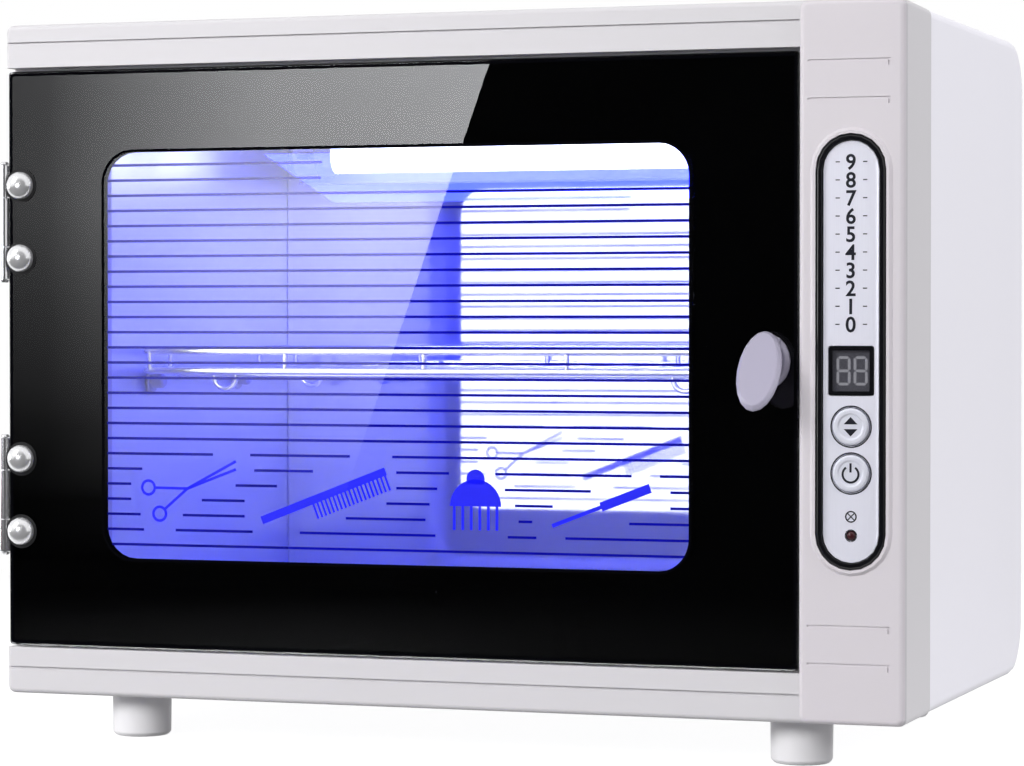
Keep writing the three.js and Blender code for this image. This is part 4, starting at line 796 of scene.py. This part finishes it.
def makeSigns():
    # the signs' finish carries a painted glow
    y, ink = inkFront + rows["ink"] / 2, finishes["sign_ink_painted_glow"]
    stroke = signs["stroke"]
    bars, parts = [], []
    scissors = signs["scissors"]
    pivot = scissors["pivot"]
    for ring, side in zip(scissors["rings"], (1, -1)):
        parts.append(bandLoop("ring", circle(ring, scissors["ring"], scissors["sides"]),
                              circle(ring, scissors["ring"] - stroke, scissors["sides"]), rows["ink"], ink))
        tip = (scissors["tip"][0], scissors["tip"][1] - side * scissors["gape"])
        for start, end, trim in ((ring, pivot, scissors["ring"]), (pivot, tip, 0)):
            run = Vector(end) - Vector(start)
            x, z = (Vector(start) + Vector(end) + run.normalized() * trim) / 2
            bars.append(((x, y, z), (run.length - trim, rows["ink"], stroke), -math.atan2(run.y, run.x)))
    comb = signs["comb"]
    pitch = (comb["length"] - comb["handle"]) / comb["teeth"]
    bars.append(turnedBar(comb["middle"], 0, 0, (comb["length"], comb["spine"]), comb["turn"], y))
    bars += [turnedBar(comb["middle"], comb["length"] / 2 - pitch * (i + 0.5),
                       comb["bite"] - (comb["spine"] + comb["tooth"]) / 2,
                       (pitch * comb["toothShare"], comb["tooth"]), comb["turn"], y)
             for i in range(comb["teeth"])]
    clip = signs["clip"]
    (cx, cz), radius = clip["middle"], clip["radius"]
    grip = arc((cx, cz + radius), radius * clip["gripShare"], *clip["gripArc"], clip["gripSteps"])
    parts.append(slab("clipBack", arc((cx, cz), radius, 0, 180, clip["steps"]), rows["ink"], ink))
    parts.append(slab("clipGrip", grip, rows["ink"], ink))
    bars += [((cx + (i - (clip["teeth"] - 1) / 2) * 2 * radius / clip["teeth"], y,
               cz + clip["bite"] - clip["tooth"] / 2), (stroke, rows["ink"], clip["tooth"]), 0)
             for i in range(clip["teeth"])]
    brush = signs["brush"]
    handleLength = brush["length"] - brush["head"]
    for along, size in ((-brush["head"] / 2, (handleLength, stroke * brush["handleShare"])),
                        (handleLength / 2, (brush["head"], brush["bristle"]))):
        bars.append(turnedBar(brush["middle"], along, 0, size, brush["turn"], y))
    placed = [setBack(part, inkFront) for part in parts]
    return joined("door_signs", [barField("signBars", bars, ink)] + placed)


doorLines = {"width": 0.0011, "ink": 0.00006, "ahead": 0.000078, "edge": 0.0008, "edgeRadii": (0.0015, 0.0004),
             "steps": 12}


def makeDoorLines():
    # the fine black lines that edge the glass and its window
    (low, high), wide, edge = glassBox, doorLines["width"], doorLines["edge"]
    lines = (((window["left"] - wide, window["right"] + wide, window["bottom"] - wide, window["top"] + wide),
              (rows["corner"] + wide, rows["corner"])),
             ((low.x + edge, high.x - edge, low.z + edge, high.z - edge), doorLines["edgeRadii"]))
    parts = [frameBand("line", sides, wide, radii, doorLines["steps"], doorLines["ink"], finishes["edge_ink"])
             for sides, radii in lines]
    return setBack(joined("door_lines", parts), glassFront - doorLines["ahead"])


doorRows = makeRows()
doorSigns = makeSigns()
doorEdging = makeDoorLines()
print("door print made")


# The control panel: print, display, button rings and signs

panel = {
    "ink": 0.00006, "lift": 0.00008, "scaleTop": 0.2262, "scaleBottom": 0.1662, "numbers": 10,
    "height": 0.0056, "shift": -0.0002, "tick": (0.0016, 0.0004), "tickPlace": 0.0052, "capShare": 0.7,
    "boldShare": 0.025, "curveSteps": 4, "buttonHole": 0.00735, "ringWidth": 0.0005, "lightHole": 0.0020,
    "lightRing": 0.0003,
}
columnMiddle = middleOf("panel_plate").x


def printed(name, text, height, x, z, finish):
    # plain characters as a flat mesh, centred on a spot of the panel
    curve = bpy.data.curves.new(name, "FONT")
    curve.body = text
    curve.size = height / panel["capShare"]
    curve.align_x = "CENTER"
    curve.extrude = panel["ink"] / 2
    curve.offset = height * panel["boldShare"]
    curve.resolution_u = panel["curveSteps"]
    made = baked(objectFrom(name + "_writing", curve), name, finish)
    made.data.transform(Matrix.Translation((x, 0, z - height / 2)) @ Matrix.Rotation(math.pi / 2, 4, "X"))
    return made


def mark(x, z, width, height):
    # a small printed bar
    w, h = width / 2, height / 2
    return slab("mark", [(x - w, z - h), (x + w, z - h), (x + w, z + h), (x - w, z + h)], panel["ink"],
                finishes["panel_ink"])


def ringAt(name, z, outer, width, steps=48):
    middle = (columnMiddle, z)
    return bandLoop(name, circle(middle, outer, steps), circle(middle, outer - width, steps), panel["ink"],
                    finishes["panel_ink"])


def makeScale():
    # a plain scale of numbers down the panel's upper half, with a tick on either side of each
    parts = []
    last = panel["numbers"] - 1
    for i in range(panel["numbers"]):
        z = panel["scaleTop"] - (panel["scaleTop"] - panel["scaleBottom"]) * i / last
        parts.append(printed("number", str(last - i), panel["height"], columnMiddle + panel["shift"], z,
                             finishes["panel_ink"]))
        parts += [mark(columnMiddle + side * panel["tickPlace"], z, *panel["tick"]) for side in (-1, 1)]
    return laidOn(joined("panel_scale", parts), "panel_plate", panel["lift"])


def makeButtonRings():
    # a ring round each button's hole and round the light
    parts = [ringAt("ring", middleOf(name).z, hole + width, width) for name, hole, width in (
        ("select_button", panel["buttonHole"], panel["ringWidth"]),
        ("power_button", panel["buttonHole"], panel["ringWidth"]),
        ("power_light", panel["lightHole"], panel["lightRing"]))]
    return laidOn(joined("panel_rings", parts), "panel_plate", panel["lift"])


arrows = {"base": 0.0009, "tip": 0.0036, "half": 0.0026}
standby = {"drop": 0.0003, "outer": 0.0034, "inner": 0.0026, "arc": (125, 415), "steps": 36,
           "rise": 0.0021, "stroke": (0.0008, 0.0034)}
lampMark = {"rise": 0.0070, "radius": 0.0022, "width": 0.0005, "bar": (0.0036, 0.0004), "sides": 32}


def makeSelectSign():
    # two plain arrow heads, up and down
    z, half = middleOf("select_button").z, arrows["half"]
    parts = [slab("arrow", [(columnMiddle - half, z + side * arrows["base"]),
                            (columnMiddle + half, z + side * arrows["base"]),
                            (columnMiddle, z + side * arrows["tip"])], panel["ink"], finishes["panel_ink"])
             for side in (-1, 1)]
    return laidOn(joined("select_sign", parts), "select_button", panel["lift"])


def makePowerSign():
    # the plain standby mark: an open ring and a stroke
    z = middleOf("power_button").z
    lines = [arc((columnMiddle, z - standby["drop"]), standby[radius], *standby["arc"], standby["steps"])
             for radius in ("outer", "inner")]
    ring = bandLoop("standby", *lines, panel["ink"], finishes["panel_ink"], closed=False)
    stroke = mark(columnMiddle, z + standby["rise"], *standby["stroke"])
    return laidOn(joined("power_sign", [ring, stroke]), "power_button", panel["lift"])


def makeLampSign():
    # a plain lamp mark over the light: a ring with a cross in it
    z = middleOf("power_light").z + lampMark["rise"]
    ring = ringAt("lampMark", z, lampMark["radius"], lampMark["width"], lampMark["sides"])
    bars = [turnedBar((columnMiddle, z), 0, 0, lampMark["bar"], turn, panel["ink"] / 2) for turn in (45, -45)]
    crossed = barField("lampCross", [(middle, (size[0], panel["ink"], size[2]), turn)
                                     for middle, size, turn in bars], finishes["panel_ink"])
    return laidOn(joined("lamp_sign", [ring, crossed]), "panel_plate", panel["lift"])


scaleMarks = makeScale()
buttonRings = makeButtonRings()
selectSign = makeSelectSign()
powerSign = makePowerSign()
lampSign = makeLampSign()

display = {
    "digitHeight": 0.0098, "digitWidth": 0.0043, "stroke": 0.0010, "strokeShare": 0.94, "gap": 0.0022,
    "thickness": 0.0001, "digitsBehind": 0.00002, "frameWidth": 0.0014, "frameRadii": (0.0006, 0.0003),
    "frameAhead": 0.00012, "fieldInset": 0.0008, "fieldRadius": 0.0004, "fieldThickness": 0.00008,
    "fieldBehind": 0.00014, "frameSteps": 6, "fieldSteps": 4,
}


def strokeOutline(x, z, length, wide, upright):
    # a stroke with pointed ends
    half, w = length / 2, wide / 2
    flat = [(-half, 0), (-half + w, -w), (half - w, -w), (half, 0), (half - w, w), (-half + w, w)]
    return [(x + (b if upright else a), z + (a if upright else b)) for a, b in flat]


def makeDisplay():
    # two digits of seven strokes, every stroke given a painted glow, on a field behind the lens, and a frame
    # on it
    low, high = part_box("display_lens")
    middle = middleOf("display_lens")
    w, h = display["digitWidth"], display["digitHeight"]
    strokes = []
    for side in (-1, 1):
        x, z = middle.x + side * (w + display["gap"]) / 2, middle.z
        strokes += [(x, z + up * h / 2, w, False) for up in (1, 0, -1)]
        strokes += [(x + across * w / 2, z + up * h / 4, h / 2, True) for across in (-1, 1) for up in (1, -1)]
    digits = joined("display_digits", [
        slab("stroke", strokeOutline(x, z, length * display["strokeShare"], display["stroke"], upright),
             display["thickness"], finishes["digit"]) for x, z, length, upright in strokes])
    trim = frameBand("display_frame", (low.x, high.x, low.z, high.z), display["frameWidth"],
                     display["frameRadii"], display["frameSteps"], display["thickness"],
                     finishes["black_plastic"])
    inset = display["fieldInset"]
    outline = roundedLoop(low.x + inset, high.x - inset, low.z + inset, high.z - inset,
                          display["fieldRadius"], display["fieldSteps"])
    field = slab("display_field", outline, display["fieldThickness"], finishes["digit_field"])
    return (setBack(digits, high.y + display["digitsBehind"]), setBack(trim, low.y - display["frameAhead"]),
            setBack(field, high.y + display["fieldBehind"]))


displayDigits, displayTrim, displayField = makeDisplay()
print("panel print made")


# What each piece rides on and stands for

def settle(piece, body, slotName, *stoodFor):
    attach(piece, body)
    if stoodFor:
        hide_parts(*stoodFor)


settle(rack, "rack", "rack_wire", "rack")
settle(handle, "door", "handle_plastic", "handle")
settle(domes, "door", "chrome", *hingeScrews)
settle(washers, "door", "black_plastic")
settle(rearHeads, "cabinet", "zinc", *rearScrews)
settle(footHeads, "cabinet", "zinc", *footScrews)
settle(doorRows, "door", "black_print")
settle(doorSigns, "door", "black_print")
settle(doorEdging, "door", "black_print")
settle(scaleMarks, "cabinet", "black_print")
settle(buttonRings, "cabinet", "black_print")
settle(lampSign, "cabinet", "black_print")
settle(selectSign, "select_button", "black_print")
settle(powerSign, "power_button", "black_print")
settle(displayDigits, "cabinet", "light_lens")
settle(displayTrim, "cabinet", "black_plastic")
settle(displayField, "cabinet", "dark_plastic")
print("pieces settled on their bodies")


# Camera and studio

camera = {
    "place": (0.47308, -1.35732, 0.16614), "turn": 19.361, "fall": 0.967, "lens": 121.86, "sensor": 36.0,
    "clip": (0.05, 60),
}


def makeCamera():
    data = bpy.data.cameras.new("camera")
    data.lens, data.sensor_width = camera["lens"], camera["sensor"]
    data.clip_start, data.clip_end = camera["clip"]
    scene.camera = objectFrom("camera", data)
    scene.camera.location = camera["place"]
    scene.camera.rotation_euler = (math.radians(90 - camera["fall"]), 0, math.radians(camera["turn"]))


# A soft card that the door's glass mirrors: its slanting edge falls where the photograph shows it

glare = {
    "corners": ((-0.707226, 0.001453), (-0.417601, 0.007982), (-0.291069, 0.359844), (-0.706066, 0.371513)),
    "ahead": 0.9, "strength": 10.6, "colour": (0.96, 0.97, 1, 1),
    "across": [(0.0, 0.09), (0.2, 0.155), (0.6, 0.8), (1.0, 1.0)],
    "down": [(0.0, 0.0), (0.12, 0.012), (0.26, 0.11), (0.5, 0.5), (0.68, 0.9), (1.0, 1.0)],
}


def ramp(tree, value, stops):
    node = add(tree, "ShaderNodeValToRGB", {"Fac": value})
    node.color_ramp.elements[0].position, node.color_ramp.elements[1].position = stops[0][0], stops[-1][0]
    for spot, tone in stops[1:-1]:
        node.color_ramp.elements.new(spot)
    for element, (spot, tone) in zip(node.color_ramp.elements, stops):
        element.color = (tone, tone, tone, 1)
    return node.outputs["Color"]


def makeGlareCard():
    y = glassFront - glare["ahead"]
    shape = bmesh.new()
    face = shape.faces.new([shape.verts.new((x, y, z)) for x, z in glare["corners"]])
    layer = shape.loops.layers.uv.new("card")
    for loop, spot in zip(face.loops, ((0, 0), (1, 0), (1, 1), (0, 1))):
        loop[layer].uv = spot
    material = bpy.data.materials.new("softCard")
    material.use_nodes = True
    tree = material.node_tree
    tree.nodes.clear()
    onCard = add(tree, "ShaderNodeUVMap", uv_map="card").outputs[0]
    spot = add(tree, "ShaderNodeSeparateXYZ", {0: onCard}).outputs
    glow = reckon(tree, "MULTIPLY", ramp(tree, spot["X"], glare["across"]),
                  ramp(tree, spot["Y"], glare["down"]))
    light = add(tree, "ShaderNodeEmission", {"Color": glare["colour"],
                                             "Strength": reckon(tree, "MULTIPLY", glow, glare["strength"])})
    add(tree, "ShaderNodeOutputMaterial", {"Surface": light.outputs[0]})
    card = objectFrom("glare_card", meshFrom("glare_card", shape, False), material)
    card.visible_camera = card.visible_diffuse = card.visible_transmission = card.visible_shadow = False
    return card


def lamp(name, spot, aim, size, watts, colour=(1, 1, 1), glossy=False):
    data = bpy.data.lights.new(name, "AREA")
    data.shape = "RECTANGLE"
    data.size, data.size_y = size
    data.energy, data.color = watts, colour
    holder = objectFrom(name, data)
    holder.location = spot
    holder.rotation_euler = (Vector(aim) - Vector(spot)).to_track_quat("-Z", "Y").to_euler()
    holder.visible_glossy, holder.visible_camera = glossy, False


studio = {
    "room": 0.37, "frontDark": 0.008, "around": 0.9, "behindGlass": 2.8, "aside": 1.55, "inside": 0.1,
    "facingFront": (-0.87, -0.66), "facingLeft": (-0.1, 0.1), "throughDoor": 2.5, "floorRadius": 6,
    "floorSides": 64, "floorReach": (0.45, 0.95), "floorGlow": 0.9, "floorTone": 0.3, "floorSeen": 0.24,
    "floorFront": (-0.2, -0.11), "floorLeft": (-0.3, 0.1),
}


def makeWorld():
    world = bpy.data.worlds.new("studio")
    scene.world = world
    world.use_nodes = True
    tree = world.node_tree
    tree.nodes.clear()
    path = add(tree, "ShaderNodeLightPath").outputs
    toward = add(tree, "ShaderNodeTexCoord").outputs["Generated"]
    facing = add(tree, "ShaderNodeSeparateXYZ", {0: toward}).outputs
    mirrored = carried(tree, facing["Y"], studio["facingFront"], (studio["frontDark"], studio["around"]),
                       interpolation_type="SMOOTHSTEP")
    through = reckon(tree, "GREATER_THAN", path["Transmission Depth"], studio["throughDoor"])
    first = reckon(tree, "LESS_THAN", path["Diffuse Depth"], 0.5)
    unmirrored = reckon(tree, "LESS_THAN", path["Glossy Depth"], 0.5)
    # plain rays see the room, glossy ones the darker front; what is seen straight or through glass is white
    tone = blend(tree, reckon(tree, "MINIMUM", path["Glossy Depth"], first), studio["room"], mirrored)
    clear = reckon(tree, "MULTIPLY", path["Is Transmission Ray"], reckon(tree, "MULTIPLY", first, unmirrored))
    white = blend(tree, reckon(tree, "MAXIMUM", path["Is Camera Ray"], clear), tone, 1.0)
    # out through the glass again: white where the back wall mirrors it, less where the left wall does
    leftward = carried(tree, facing["X"], studio["facingLeft"], (studio["behindGlass"], studio["aside"]))
    whole = blend(tree, through, white, blend(tree, first, studio["inside"], leftward))
    sky = add(tree, "ShaderNodeBackground", {"Color": (1, 1, 1, 1), "Strength": whole})
    add(tree, "ShaderNodeOutputWorld", {"Surface": sky.outputs[0]})


def makeFloor():
    shape = bmesh.new()
    bmesh.ops.create_circle(shape, cap_ends=True, segments=studio["floorSides"],
                             radius=studio["floorRadius"])
    material, tree, shader = principled("paleFloor", {
        "Roughness": 0.7, "Specular IOR Level": 0.1, "Emission Color": (1, 1, 1, 1)})
    path = add(tree, "ShaderNodeLightPath").outputs
    spot = add(tree, "ShaderNodeTexCoord").outputs["Object"]
    along = add(tree, "ShaderNodeSeparateXYZ", {0: spot}).outputs
    # the room in front of the cabinet is dark, as the world's front is
    forward = carried(tree, along["Y"], studio["floorFront"], (studio["frontDark"], studio["around"]),
                      interpolation_type="SMOOTHSTEP")
    mirrored = reckon(tree, "MINIMUM", path["Glossy Depth"], 1)
    straight = reckon(tree, "MAXIMUM", path["Is Camera Ray"], path["Is Transmission Ray"])
    through = blend(tree, mirrored, straight, forward)
    # what the chamber's mirror shows of the floor, out through the glass again, is as white as the world there
    deep = reckon(tree, "GREATER_THAN", path["Transmission Depth"], studio["throughDoor"])
    outside = reckon(tree, "MULTIPLY", deep, reckon(tree, "LESS_THAN", path["Diffuse Depth"], 0.5))
    leftward = carried(tree, along["X"], studio["floorLeft"], (studio["behindGlass"], studio["frontDark"]))
    shown = blend(tree, outside, through, leftward)
    tree.links.new(reckon(tree, "MULTIPLY", shown, studio["floorGlow"]), shader.inputs["Emission Strength"])
    plainTone = blend(tree, path["Is Camera Ray"], studio["floorTone"], studio["floorSeen"])
    dimTone = reckon(tree, "MULTIPLY", forward, studio["floorTone"])
    tree.links.new(blend(tree, mirrored, plainTone, dimTone), shader.inputs["Base Color"])
    # further out the floor turns into the plain white round it
    away = add(tree, "ShaderNodeVectorMath", {0: spot}, operation="LENGTH").outputs["Value"]
    fade = carried(tree, away, studio["floorReach"], interpolation_type="SMOOTHSTEP")
    plain = add(tree, "ShaderNodeEmission", {"Color": (1, 1, 1, 1), "Strength": shown})
    ending = add(tree, "ShaderNodeMixShader", {0: fade, 1: shader.outputs[0], 2: plain.outputs[0]})
    tree.links.new(ending.outputs[0], tree.nodes["Material Output"].inputs["Surface"])
    return objectFrom("floor", meshFrom("floor", shape, False), material)


lamps = {
    "frontSoft": {"spot": (-0.7, -1.7, 0.82), "aim": (0, 0, 0.17), "size": (1.6, 0.6), "watts": 31},
    "rightSoft": {"spot": (1.7, -0.2, 1.0), "aim": (0.1, 0, 0.2), "size": (1.2, 1.2), "watts": 19,
                  "colour": (0.98, 0.97, 1)},
    "backSoft": {"spot": (0.2, 1.9, 1.1), "aim": (0, 0, 0.15), "size": (1.4, 1.4), "watts": 9},
    # a small bright card for the chrome and the handle, out of the door's mirrored view
    "sparkle": {"spot": (-1.2, -1.2, 1.0), "aim": (-0.18, -0.1, 0.15), "size": (0.5, 0.9), "watts": 5,
                "glossy": True},
    # lights what faces left, such as the feet, the hinges and the handle's bevel
    "leftSoft": {"spot": (-2.2, -0.3, 0.16), "aim": (-0.1, -0.1, 0.1), "size": (0.9, 0.5), "watts": 9,
                 "glossy": True},
}
ultraviolet = {
    "colour": (0.012, 0.021, 1), "ahead": 0.03, "under": 0.004, "over": 0.008,
    "tubeAim": (0.0, 0.03), "tubeSize": (0.2, 0.08), "tubeWatts": 0.5,
    "chamberAim": (0.07, 0.06), "chamberSize": (0.2, 0.06), "chamberWatts": 0.32,
}


def makeLamps():
    for name, values in lamps.items():
        lamp(name, **values)
    # two lamps light the chamber for the tube: one before it and one behind the frame's throat
    nodes["lamp_tube"].visible_diffuse = False
    low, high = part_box("lamp_tube")
    across, throat = (low.x + high.x) / 2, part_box("front_frame")[1].y
    lamp("tubeLight", (across, low.y - ultraviolet["ahead"], low.z - ultraviolet["under"]),
         (across, *ultraviolet["tubeAim"]), ultraviolet["tubeSize"], ultraviolet["tubeWatts"],
         ultraviolet["colour"])
    lamp("chamberLight", (across, throat + ultraviolet["ahead"], low.z + ultraviolet["over"]),
         (across, *ultraviolet["chamberAim"]), ultraviolet["chamberSize"], ultraviolet["chamberWatts"],
         ultraviolet["colour"])


makeCamera()
makeWorld()
makeFloor()
makeGlareCard()
makeLamps()
print("studio made")
